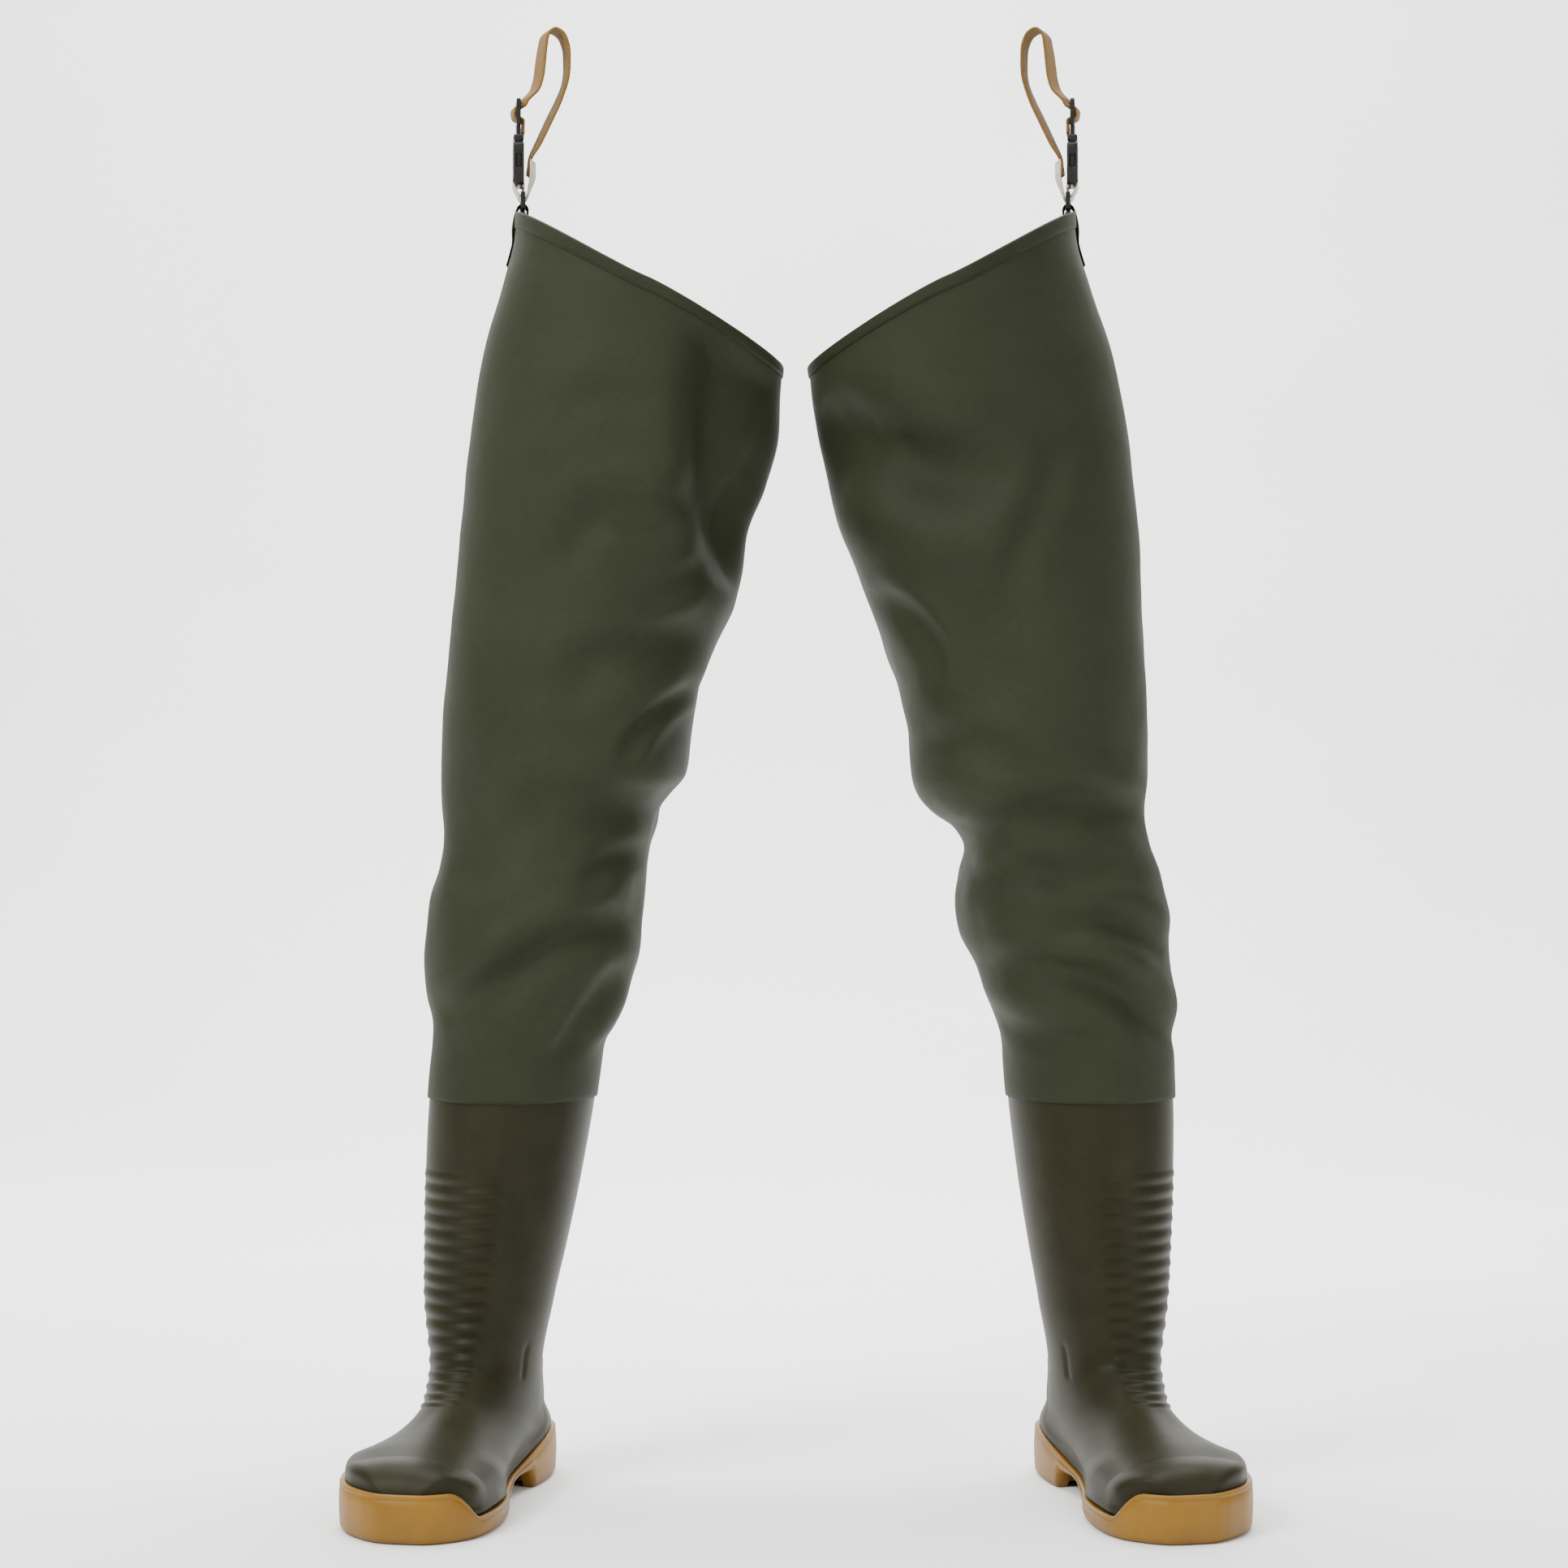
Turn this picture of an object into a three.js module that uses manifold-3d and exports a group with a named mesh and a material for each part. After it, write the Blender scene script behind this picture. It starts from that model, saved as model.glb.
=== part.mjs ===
// A pair of thigh waders: two moulded boots, each carrying a welded coated-fabric leg with a slanted top,
// and a belt strap that closes with a side-release buckle.
// Millimetres. +Z is up, the toes point to -Y, and the wearer's right wader stands at -X.
// The origin is on the floor, under the centre of the pair's box.
import * as THREE from 'three';
import { mergeVertices } from 'three/addons/utils/BufferGeometryUtils.js';
import Module from 'manifold-3d';

// ---------------------------------------------------------------- driving dimensions
const CLEARANCE = 0.3; // between pieces that are welded, glued or seated on each other
const AROUND = 20; // points around each boot and leg ring

// The stance.
const ANKLE_SPREAD = 218; // from the middle of the pair to each ankle
const KNEE_SPREAD = 177;
const RIM_SPREAD = 104;
const TOE_OUT = 12.5; // degrees that each foot turns outwards

// The boot's upper.
const BOOT_WALL = 3;
const LINING_WALL = 1;
const FOOT_LENGTH = 292; // heel to toe, outside the upper
const HEEL_SETBACK = 75; // from the ankle's axis back to the heel
const SHAFT_HEIGHT = 314;
const SHAFT_TOP_DEPTH = 136;
const SHAFT_TOP_WIDTH = 114;
const SHAFT_LEAN = 18; // how far the shaft's top leans towards the middle of the pair
const ANKLE_HEIGHT = 110;
const ANKLE_DEPTH = 108;
const ANKLE_WIDTH = 84;
const HEEL_WIDTH = 74;
const BALL_WIDTH = 102;

// The outsole.
const SOLE_PROUD = 3.5; // how far the sole stands out past the upper
const TOE_BUMPER_HEIGHT = 33;
const BALL_RIM_HEIGHT = 12;
const HEEL_RIM_HEIGHT = 38;
const ARCH_RISE = 13;
const SOLE_EDGE = 3; // chamfer where the walls meet the tread
const LUG_GROOVE = 4; // depth of the tread's grooves
const LUG_WIDTH = 5.5;
const LUG_PITCH = 14;
const LUG_BORDER = 10; // solid band left around the tread

// The footbed.
const INSOLE_THICK = 5;

// The fabric leg.
const FABRIC = 1.2;
const CUFF_OVERLAP = 40; // how far the leg reaches down over the boot's shaft
const CUFF_RISE = 20; // and how far up, before the knee section
const KNEE_SPAN = 240; // height of the leg that folds when the knee bends
const INSEAM = 210; // from the knee section to the rim's low, inner end
const RIM_RISE = 106; // from there up to the rim's high, outer end
const CALF_WIDTH = 148;
const CALF_DEPTH = 164;
const KNEE_WIDTH = 140;
const KNEE_DEPTH = 160;
const THIGH_WIDTH = 200;
const THIGH_DEPTH = 212;
const THIGH_BULGE = 12; // extra width halfway between the thigh and the rim
const RIM_WIDTH = 190;
const RIM_DEPTH = 240;
const HEM_HEIGHT = 18;

// The hanger and belt strap.
const WEBBING_WIDTH = 24;
const TAB_THICK = 1.5;
const WEBBING_THICK = 1.5;
const STRAP_THICK = 1.8;
const STRAP_TWIST = 5; // degrees that the hanger is turned about Z
const RING_BAR = 3.2;
const RING_REACH = 10; // between the centres of the ring's two long bars
const HANGER_INSET = 8; // from the rim's outer end to the ring
const HANGER_RISE = 5; // from the rim's outer end up to the ring's lower bar
const TAB_LENGTH = 40; // along the leg, below the rim
const BUCKLE_MARGIN = 4; // the buckle's width beyond the webbing, on each side
const BUCKLE_THICK = 7.5;
const BUCKLE_WALL = 1.6;
const SOCKET_BASE = 6; // from the ring's upper bar up to the socket
const SOCKET_HEIGHT = 30;
const PLUG_GAP = 0.4; // between the plug and the socket's walls
const LOOP_RISE = 54; // from the plug's frame up to the strap's crown
const STRAP_REACH = 32; // from the ring to the strap's inner side

// ---------------------------------------------------------------- materials
const material = (color, roughness, metalness = 0) =>
  new THREE.MeshStandardMaterial({ color, roughness, metalness });
const bootPvc = material(0x3b3a2b, 0.38);
const solePvc = material(0x9a7432, 0.5);
const coatedFabric = material(0x464a39, 0.62);
const liningKnit = material(0x8c8a7c, 0.95);
const insoleFoam = material(0x50524a, 0.95);
const blackPlastic = material(0x1c1b17, 0.45);
const creamWebbing = material(0xd9d0c2, 0.85);
const tanWebbing = material(0xa08658, 0.85);

// ---------------------------------------------------------------- small helpers
const radians = THREE.MathUtils.degToRad;
const mix = THREE.MathUtils.lerp;
const ease = THREE.MathUtils.smoothstep;
const vec = (x, y, z) => new THREE.Vector3(x, y, z);

// A height that grows quickly at first and levels off at 1.
const swell = (share) => Math.sin((share * Math.PI) / 2);

const wasm = await Module();
wasm.setup();

function toSolid(geometry) {
  const bare = geometry.index ? geometry.toNonIndexed() : geometry.clone();
  bare.deleteAttribute('normal');
  bare.deleteAttribute('uv');
  const merged = mergeVertices(bare, 1e-3);
  const mesh = new wasm.Mesh({
    numProp: 3,
    vertProperties: new Float32Array(merged.attributes.position.array),
    triVerts: new Uint32Array(merged.index.array),
  });
  return new wasm.Manifold(mesh);
}

function toGeometry(solid) {
  const mesh = solid.getMesh();
  const geometry = new THREE.BufferGeometry();
  geometry.setAttribute('position', new THREE.BufferAttribute(mesh.vertProperties, 3));
  geometry.setIndex(new THREE.BufferAttribute(mesh.triVerts, 1));
  return geometry;
}

function piece(name, geometry, look) {
  const mesh = new THREE.Mesh(geometry, look);
  mesh.name = name;
  return mesh;
}

// ---------------------------------------------------------------- grids of rings
// A grid is a list of rings, each a closed loop of AROUND points. All its rings run the same way.

function ringNormal(grid, i, k) {
  const ring = grid[i];
  const count = ring.length;
  const across = ring[(k + 1) % count].clone().sub(ring[(k + count - 1) % count]);
  const before = grid[Math.max(i - 1, 0)][k];
  const after = grid[Math.min(i + 1, grid.length - 1)][k];
  return across.cross(after.clone().sub(before)).normalize();
}

// Every point moved along the surface's normal; a positive distance moves it outwards.
function offset(grid, distance) {
  const outwards = facesOut(grid) ? 1 : -1;
  return grid.map((ring, i) =>
    ring.map((point, k) =>
      point.clone().addScaledVector(ringNormal(grid, i, k), distance * outwards)));
}

function centreOf(ring) {
  const sum = ring.reduce((total, point) => total.add(point), vec(0, 0, 0));
  return sum.divideScalar(ring.length);
}

function facesOut(grid) {
  const middle = Math.floor(grid.length / 2);
  const spoke = grid[middle][0].clone().sub(centreOf(grid[middle]));
  return ringNormal(grid, middle, 0).dot(spoke) > 0;
}

function skin(faces, grid, inward) {
  for (let i = 0; i + 1 < grid.length; i++) {
    for (let k = 0; k < grid[i].length; k++) {
      const next = (k + 1) % grid[i].length;
      quad(faces, grid[i][k], grid[i][next], grid[i + 1][next], grid[i + 1][k], inward);
    }
  }
}

function quad(faces, a, b, c, d, flip) {
  if (flip) faces.push(a, d, c, a, c, b);
  else faces.push(a, b, c, a, c, d);
}

function cap(faces, ring, tip, flip) {
  for (let k = 0; k < ring.length; k++) {
    const next = ring[(k + 1) % ring.length];
    if (flip) faces.push(ring[k], tip, next);
    else faces.push(ring[k], next, tip);
  }
}

function rim(faces, outer, inner, flip) {
  for (let k = 0; k < outer.length; k++) {
    const next = (k + 1) % outer.length;
    quad(faces, outer[k], outer[next], inner[next], inner[k], flip);
  }
}

function fromFaces(faces) {
  const geometry = new THREE.BufferGeometry().setFromPoints(faces);
  return mergeVertices(geometry, 1e-4);
}

// A closed solid inside one grid, with flat ends.
function solidGrid(grid) {
  const faces = [];
  const inward = !facesOut(grid);
  skin(faces, grid, inward);
  cap(faces, grid[0], centreOf(grid[0]), !inward);
  cap(faces, grid[grid.length - 1], centreOf(grid[grid.length - 1]), inward);
  return fromFaces(faces);
}

// A cup: open at its first ring, closed by a tip past its last.
function cup(outer, outerTip, inner, innerTip) {
  const faces = [];
  const inward = !facesOut(outer);
  skin(faces, outer, inward);
  skin(faces, inner, !inward);
  rim(faces, outer[0], inner[0], !inward);
  cap(faces, outer[outer.length - 1], outerTip, inward);
  cap(faces, inner[inner.length - 1], innerTip, !inward);
  return fromFaces(faces);
}

// A tube, open at both ends.
function tube(outer, inner) {
  const faces = [];
  const inward = !facesOut(outer);
  const last = outer.length - 1;
  skin(faces, outer, inward);
  skin(faces, inner, !inward);
  rim(faces, outer[0], inner[0], !inward);
  rim(faces, outer[last], inner[last], inward);
  return fromFaces(faces);
}

// ---------------------------------------------------------------- the foot's own plane
// f runs forwards from the ankle along the foot, m towards the middle of the pair, z up.
const HEEL = -HEEL_SETBACK;
const TOE = FOOT_LENGTH - HEEL_SETBACK;
const along = (share) => mix(HEEL, TOE, share);

function footPoint(f, m, z) {
  const turn = radians(TOE_OUT);
  const x = m * Math.cos(turn) - f * Math.sin(turn);
  const y = -m * Math.sin(turn) - f * Math.cos(turn);
  return vec(x - ANKLE_SPREAD, y, z);
}

// ---------------------------------------------------------------- the boot's upper
// Each section runs across the boot from its front (or top) point to its back (or bottom) point.

function shaftSection(z) {
  const share = (z - ANKLE_HEIGHT) / (SHAFT_HEIGHT - ANKLE_HEIGHT);
  const depth = mix(ANKLE_DEPTH, SHAFT_TOP_DEPTH, swell(share));
  const half = mix(ANKLE_WIDTH, SHAFT_TOP_WIDTH, swell(share)) / 2;
  return {
    front: [depth * 0.485, z],
    back: [-depth * 0.515, z],
    half,
    shift: SHAFT_LEAN * share,
    square: 2,
  };
}

// Shares along the foot, heights as shares of the ankle's, and the half-width of each section.
function footSection(front, top, back, bottom, half, shift, square) {
  return {
    front: [along(front), ANKLE_HEIGHT * top],
    back: [along(back), ANKLE_HEIGHT * bottom],
    half,
    shift,
    square,
  };
}

const cuffBottom = SHAFT_HEIGHT - CUFF_OVERLAP;
const shaftHeights = [SHAFT_HEIGHT, cuffBottom, 0.66, 0.36, 0.12].map((height) =>
  height > 1 ? height : mix(ANKLE_HEIGHT, cuffBottom, height));
const bootSections = [
  ...shaftHeights.map(shaftSection),
  footSection(0.455, 0.86, 0.055, 0.68, HEEL_WIDTH * 0.5, 0, 2.1),
  footSection(0.51, 0.73, 0.022, 0.46, HEEL_WIDTH * 0.49, 0, 2.2),
  footSection(0.565, 0.655, 0.012, 0.31, HEEL_WIDTH * 0.48, 0, 2.3),
  footSection(0.62, 0.6, 0.09, 0.235, HEEL_WIDTH * 0.5, 0, 2.4),
  footSection(0.68, 0.56, 0.26, 0.2, HEEL_WIDTH * 0.53, 0, 2.5),
  footSection(0.75, 0.53, 0.46, 0.125, BALL_WIDTH * 0.44, -1, 2.6),
  footSection(0.82, 0.505, 0.63, 0.085, BALL_WIDTH * 0.5, -2, 2.7),
  footSection(0.885, 0.47, 0.77, 0.08, BALL_WIDTH * 0.49, -1, 2.6),
  footSection(0.94, 0.415, 0.88, 0.09, BALL_WIDTH * 0.43, 2, 2.4),
  footSection(0.98, 0.34, 0.955, 0.13, BALL_WIDTH * 0.32, 5, 2.2),
];
const toeTip = footPoint(TOE, 6, ANKLE_HEIGHT * 0.23);

// A ring between the section's two points. A larger "square" makes its lower half boxier.
function sectionRing(section) {
  const [f0, z0] = section.front;
  const [f1, z1] = section.back;
  return Array.from({ length: AROUND }, (_, k) => {
    const angle = (k / AROUND) * 2 * Math.PI;
    const c = Math.cos(angle);
    const s = Math.sin(angle);
    const power = c < 0 ? 2 / section.square : 1;
    const between = (1 - Math.sign(c) * Math.abs(c) ** power) / 2;
    const side = Math.sign(s) * Math.abs(s) ** power;
    return footPoint(mix(f0, f1, between), section.shift + side * section.half, mix(z0, z1, between));
  });
}

const bootGrid = bootSections.map(sectionRing);
const toeDirection = toeTip.clone().sub(centreOf(bootGrid[bootGrid.length - 1])).normalize();
const bootTip = (distance) => toeTip.clone().addScaledVector(toeDirection, distance);

function bootShell() {
  return cup(bootGrid, bootTip(0), offset(bootGrid, -BOOT_WALL), bootTip(-BOOT_WALL));
}

const liningDepth = BOOT_WALL + CLEARANCE;
const cavityDepth = liningDepth + LINING_WALL + CLEARANCE;

function bootLining() {
  const inside = liningDepth + LINING_WALL;
  const start = 1; // the lining stops where the leg begins
  return cup(
    offset(bootGrid, -liningDepth).slice(start), bootTip(-liningDepth),
    offset(bootGrid, -inside).slice(start), bootTip(-inside));
}

// A closed solid of the boot, grown or shrunk by a distance.
function bootBulk(distance) {
  const grid = offset(bootGrid, distance);
  const faces = [];
  const inward = !facesOut(grid);
  skin(faces, grid, inward);
  cap(faces, grid[0], centreOf(grid[0]), !inward);
  cap(faces, grid[grid.length - 1], bootTip(distance), inward);
  return toSolid(fromFaces(faces));
}

// ---------------------------------------------------------------- the outsole
// Half-widths of the sole towards the outside and the inside of the foot, by share along it.
const soleShares = [0, 0.03, 0.09, 0.2, 0.32, 0.44, 0.56, 0.66, 0.76, 0.85, 0.915, 0.96, 0.985, 1];
const outerHalf = [0.34, 0.66, 0.9, 1, 0.98, 0.96, 0, 0, 0, 0, 0, 0, 0, 0];
const outerBall = [0, 0, 0, 0, 0, 0, 0.98, 1.06, 1.03, 0.9, 0.7, 0.46, 0.27, 0.06];
const innerHalf = [0.34, 0.66, 0.9, 1, 0.96, 0.9, 0, 0, 0, 0, 0, 0, 0, 0];
const innerBall = [0, 0, 0, 0, 0, 0, 0.76, 0.93, 1, 0.98, 0.87, 0.68, 0.5, 0.3];

function soleHalves(i) {
  const heel = HEEL_WIDTH / 2;
  const ball = BALL_WIDTH / 2;
  return {
    outer: outerHalf[i] * heel + outerBall[i] * ball,
    inner: innerHalf[i] * heel + innerBall[i] * ball,
  };
}

// The wall's top edge: high round the heel and the toe, low where the ball of the foot bulges.
function wallHeight(share) {
  const heel = mix(HEEL_RIM_HEIGHT, BALL_RIM_HEIGHT, ease(share, 0.12, 0.5));
  return mix(heel, TOE_BUMPER_HEIGHT, ease(share, 0.8, 0.88));
}

// The tread's height: flat under the heel and the forefoot, raised at the arch.
function treadHeight(share) {
  return ARCH_RISE * ease(share, 0.29, 0.33) * (1 - ease(share, 0.4, 0.55));
}

function soleSection(f, outer, inner, low, high) {
  const chamfer = Math.min(SOLE_EDGE, outer * 0.5, (high - low) * 0.4);
  const o = outer + SOLE_PROUD;
  const n = inner + SOLE_PROUD;
  return [
    footPoint(f, n - chamfer, low),
    footPoint(f, n, low + chamfer),
    footPoint(f, n, high),
    footPoint(f, -o, high),
    footPoint(f, -o, low + chamfer),
    footPoint(f, -o + chamfer, low),
  ];
}

function outsole() {
  const extra = SOLE_PROUD / FOOT_LENGTH;
  const grid = soleShares.map((share, i) => {
    const { outer, inner } = soleHalves(i);
    const f = along(mix(-extra, 1 + extra, share));
    return soleSection(f, outer, inner, treadHeight(share), wallHeight(share));
  });
  const block = toSolid(solidGrid(grid));
  return toGeometry(treadGrooves().reduce(
    (sole, groove) => sole.subtract(groove),
    block.subtract(bootBulk(CLEARANCE))));
}

// Grooves across the tread, under the forefoot and under the heel.
function treadGrooves() {
  const grooves = [];
  const lift = 1; // the cutter starts below the tread
  for (let f = HEEL + LUG_PITCH; f < TOE - LUG_PITCH; f += LUG_PITCH) {
    const share = (f - HEEL) / FOOT_LENGTH;
    if (share > 0.25 && share < 0.56) continue;
    const i = soleShares.findIndex((at) => at > share);
    const between = (share - soleShares[i - 1]) / (soleShares[i] - soleShares[i - 1]);
    const before = soleHalves(i - 1);
    const after = soleHalves(i);
    const outer = mix(before.outer, after.outer, between) - LUG_BORDER;
    const inner = mix(before.inner, after.inner, between) - LUG_BORDER;
    const box = new THREE.BoxGeometry(outer + inner, LUG_WIDTH, LUG_GROOVE + lift);
    const centre = footPoint(f, (inner - outer) / 2, (LUG_GROOVE - lift) / 2);
    box.rotateZ(-radians(TOE_OUT));
    box.translate(centre.x, centre.y, centre.z);
    grooves.push(toSolid(box));
  }
  return grooves;
}

// A flat footbed that lies on the lining.
function insole() {
  const start = 0.03;
  const end = 0.955;
  const steps = 11;
  const grid = Array.from({ length: steps + 1 }, (_, i) => {
    const share = mix(start, end, i / steps);
    const heelFloor = ANKLE_HEIGHT * 0.225;
    const ballFloor = ANKLE_HEIGHT * 0.08;
    const floor = mix(heelFloor, ballFloor, ease(share, 0.2, 0.62)) + cavityDepth;
    const half = BALL_WIDTH * 0.6; // trimmed by the boot's cavity
    const f = along(share);
    return [
      footPoint(f, half, floor - 2),
      footPoint(f, half, floor + INSOLE_THICK),
      footPoint(f, -half, floor + INSOLE_THICK),
      footPoint(f, -half, floor - 2),
    ];
  });
  return toGeometry(toSolid(solidGrid(grid)).intersect(bootBulk(-cavityDepth)));
}

// ---------------------------------------------------------------- the fabric leg
const kneeLow = SHAFT_HEIGHT + CUFF_RISE;
const kneeHeight = kneeLow + KNEE_SPAN / 2;
const kneeHigh = kneeLow + KNEE_SPAN;
const rimHeight = kneeHigh + INSEAM + RIM_RISE / 2; // at the rim's middle
const rimSlant = Math.atan(RIM_RISE / RIM_WIDTH);
const shaftTopSpread = ANKLE_SPREAD - SHAFT_LEAN;

// Each station is an upright oval: its height, width, depth, turn, and its share of the rim's slant.
const station = (z, width, depth, turn, slant) => ({ z, half: width / 2, deep: depth / 2, turn, slant });
const calfZ = (share) => mix(SHAFT_HEIGHT, kneeHeight, share);
const thighZ = (share) => mix(kneeHeight, rimHeight, share);
const calfWidth = (share) => mix(SHAFT_TOP_WIDTH, CALF_WIDTH, share);
const calfDepth = (share) => mix(SHAFT_TOP_DEPTH, CALF_DEPTH, share);
const lowThighWidth = (share) => mix(KNEE_WIDTH, THIGH_WIDTH, share);
const lowThighDepth = (share) => mix(KNEE_DEPTH, THIGH_DEPTH, share);
const topWidth = (share) => mix(THIGH_WIDTH, RIM_WIDTH, share);
const topDepth = (share) => mix(THIGH_DEPTH, RIM_DEPTH, share);
const legStations = [
  station(calfZ(0.2), calfWidth(0.5), calfDepth(0.5), 0.7, 0),
  station(calfZ(0.55), calfWidth(1), calfDepth(1), 0.35, 0),
  station(calfZ(0.8), calfWidth(0.92), calfDepth(0.98), 0.15, 0),
  station(kneeHeight, KNEE_WIDTH, KNEE_DEPTH, 0, 0),
  station(thighZ(0.13), lowThighWidth(0.42), lowThighDepth(0.42), 0, 0),
  station(thighZ(0.3), lowThighWidth(0.66), lowThighDepth(0.7), 0, 0),
  station(thighZ(0.48), THIGH_WIDTH, THIGH_DEPTH, 0, 0),
  station(thighZ(0.65), THIGH_WIDTH + THIGH_BULGE, topDepth(0.4), 0, 0.2),
  station(thighZ(0.8), topWidth(0.3) + THIGH_BULGE / 2, topDepth(0.7), 0, 0.5),
  station(thighZ(0.925), topWidth(0.7), topDepth(0.9), 0, 0.8),
  station(rimHeight, RIM_WIDTH, RIM_DEPTH, 0, 1),
];

function legCentreX(z) {
  const spread = z < kneeHeight
    ? mix(shaftTopSpread, KNEE_SPREAD, (z - SHAFT_HEIGHT) / (kneeHeight - SHAFT_HEIGHT))
    : mix(KNEE_SPREAD, RIM_SPREAD, (z - kneeHeight) / (rimHeight - kneeHeight));
  return -spread;
}

function stationAt(z) {
  const i = Math.max(1, legStations.findIndex((station) => station.z >= z - 1e-6));
  const a = legStations[i - 1];
  const b = legStations[i];
  const share = (z - a.z) / (b.z - a.z);
  const value = (key) => mix(a[key], b[key], share);
  return { z, half: value('half'), deep: value('deep'), turn: value('turn'), slant: value('slant') };
}

function legRing({ z, half, deep, turn, slant }) {
  const spin = radians(TOE_OUT) * turn;
  return Array.from({ length: AROUND }, (_, k) => {
    const angle = (k / AROUND) * 2 * Math.PI;
    const m = Math.sin(angle) * half;
    const f = Math.cos(angle) * deep;
    const x = m * Math.cos(spin) - f * Math.sin(spin);
    const y = -m * Math.sin(spin) - f * Math.cos(spin);
    return vec(legCentreX(z) + x, y, z - x * Math.tan(rimSlant * slant));
  });
}

const cuffRings = offset(bootGrid, CLEARANCE + FABRIC).slice(0, 2).reverse();
const ringsBetween = (low, high) =>
  legStations.filter((station) => station.z > low + 1 && station.z < high - 1).map(legRing);
const lowerRings = [...cuffRings, ...ringsBetween(SHAFT_HEIGHT, kneeLow), legRing(stationAt(kneeLow))];
const kneeRings = [
  legRing(stationAt(kneeLow + CLEARANCE)),
  ...ringsBetween(kneeLow, kneeHigh),
  legRing(stationAt(kneeHigh - CLEARANCE)),
];
const thighRings = [legRing(stationAt(kneeHigh)), ...ringsBetween(kneeHigh, rimHeight + 2)];

// The leg's inner face. Its end rings stay at the height of the outer ones, so that ends meet flat.
function legInside(rings) {
  const inner = offset(rings, -FABRIC);
  [0, rings.length - 1].forEach((end) => {
    inner[end].forEach((point, k) => { point.z = rings[end][k].z; });
  });
  return inner;
}

const legTube = (rings) => tube(rings, legInside(rings));

// The cuff's inner rings follow the boot itself, so the leg stays clear of the shaft that it is welded to.
function lowerLeg() {
  const inner = legInside(lowerRings);
  const fitted = offset(bootGrid, CLEARANCE).slice(0, 2).reverse();
  fitted.forEach((ring, i) => { inner[i] = ring; });
  return tube(lowerRings, inner);
}

// The hem is a folded band around the outside of the rim.
function topHem() {
  const wall = offset(thighRings, CLEARANCE);
  const band = offset(thighRings, CLEARANCE + FABRIC);
  const last = thighRings.length - 1;
  const share = HEM_HEIGHT / thighRings[last][0].distanceTo(thighRings[last - 1][0]);
  const lower = (grid) => grid[last].map((point, k) => point.clone().lerp(grid[last - 1][k], share));
  return tube([lower(band), band[last]], [lower(wall), wall[last]]);
}

// ---------------------------------------------------------------- strips of webbing
// A strip follows a path in the plane of x and z, and is as wide as the webbing along y.
function strip(points, thickness, width, divisions) {
  const curve = new THREE.CatmullRomCurve3(
    points.map(([x, z]) => vec(x, z, 0)), false, 'centripetal');
  const path = curve.getPoints(divisions);
  const side = (sign) => path.map((point, i) => {
    const before = path[Math.max(i - 1, 0)];
    const after = path[Math.min(i + 1, path.length - 1)];
    const tangent = after.clone().sub(before).normalize();
    const reach = (sign * thickness) / 2;
    return new THREE.Vector2(point.x - tangent.y * reach, point.y + tangent.x * reach);
  });
  return slab(new THREE.Shape([...side(1), ...side(-1).reverse()]), width);
}

// A shape in x and z, extruded to equal distances on both sides of y = 0.
function slab(shape, width, bevel = 0) {
  const geometry = new THREE.ExtrudeGeometry(shape, {
    depth: width - 2 * bevel,
    steps: 1,
    curveSegments: 4,
    bevelEnabled: bevel > 0,
    bevelSize: bevel,
    bevelThickness: bevel,
    bevelOffset: -bevel,
    bevelSegments: 1,
  });
  geometry.translate(0, 0, bevel - width / 2);
  geometry.rotateX(Math.PI / 2);
  return geometry;
}

// A shape in y and z, extruded along x.
function plate(shape, thickness, bevel) {
  const geometry = slab(shape, thickness, bevel);
  geometry.rotateZ(Math.PI / 2);
  return geometry;
}

function roundedRect(width, low, high, radius) {
  const half = width / 2;
  const shape = new THREE.Shape();
  shape.moveTo(-half + radius, low);
  shape.lineTo(half - radius, low);
  shape.absarc(half - radius, low + radius, radius, -Math.PI / 2, 0);
  shape.absarc(half - radius, high - radius, radius, 0, Math.PI / 2);
  shape.absarc(-half + radius, high - radius, radius, Math.PI / 2, Math.PI);
  shape.absarc(-half + radius, low + radius, radius, Math.PI, Math.PI * 1.5);
  return shape;
}

function box(x, y, z, width, depth, height) {
  const geometry = new THREE.BoxGeometry(width, depth, height);
  geometry.translate(x, y, z + height / 2);
  return toSolid(geometry);
}

// ---------------------------------------------------------------- the hanger
// Its own frame has the ring's upper bar along y at the origin; +x points towards the middle of the pair.
const slotWidth = WEBBING_WIDTH + 2;
const wrap = RING_BAR / Math.SQRT2 + CLEARANCE + WEBBING_THICK / 2; // radius of webbing around a bar

function anchorRing() {
  const half = RING_BAR / 2;
  const outline = roundedRect(slotWidth + 2 * RING_BAR, -RING_REACH - half, half, half);
  outline.holes.push(roundedRect(slotWidth, -RING_REACH + half, -half, 0.8));
  return plate(outline, RING_BAR, 0.5);
}

// The tab hooks over the ring's lower bar and runs down the outside of the leg, over the hem.
function hangerTab() {
  const hemFace = -HANGER_INSET - 2 * (CLEARANCE + FABRIC) - TAB_THICK / 2;
  const slope = legSlope();
  const down = (distance) => [hemFace - distance * slope, -RING_REACH - HANGER_RISE - distance];
  return strip([
    [wrap * 0.75, -RING_REACH - wrap - 1],
    [wrap, -RING_REACH],
    [wrap * 0.7, -RING_REACH + wrap * 0.7],
    [0, -RING_REACH + wrap],
    [-wrap * 0.7, -RING_REACH + wrap * 0.7],
    [-wrap, -RING_REACH],
    [mix(-wrap, hemFace, 0.5), -RING_REACH - HANGER_RISE * 0.45],
    down(0.5),
    down(HEM_HEIGHT * 0.6),
    down(TAB_LENGTH),
  ], TAB_THICK, WEBBING_WIDTH, 24);
}

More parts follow.
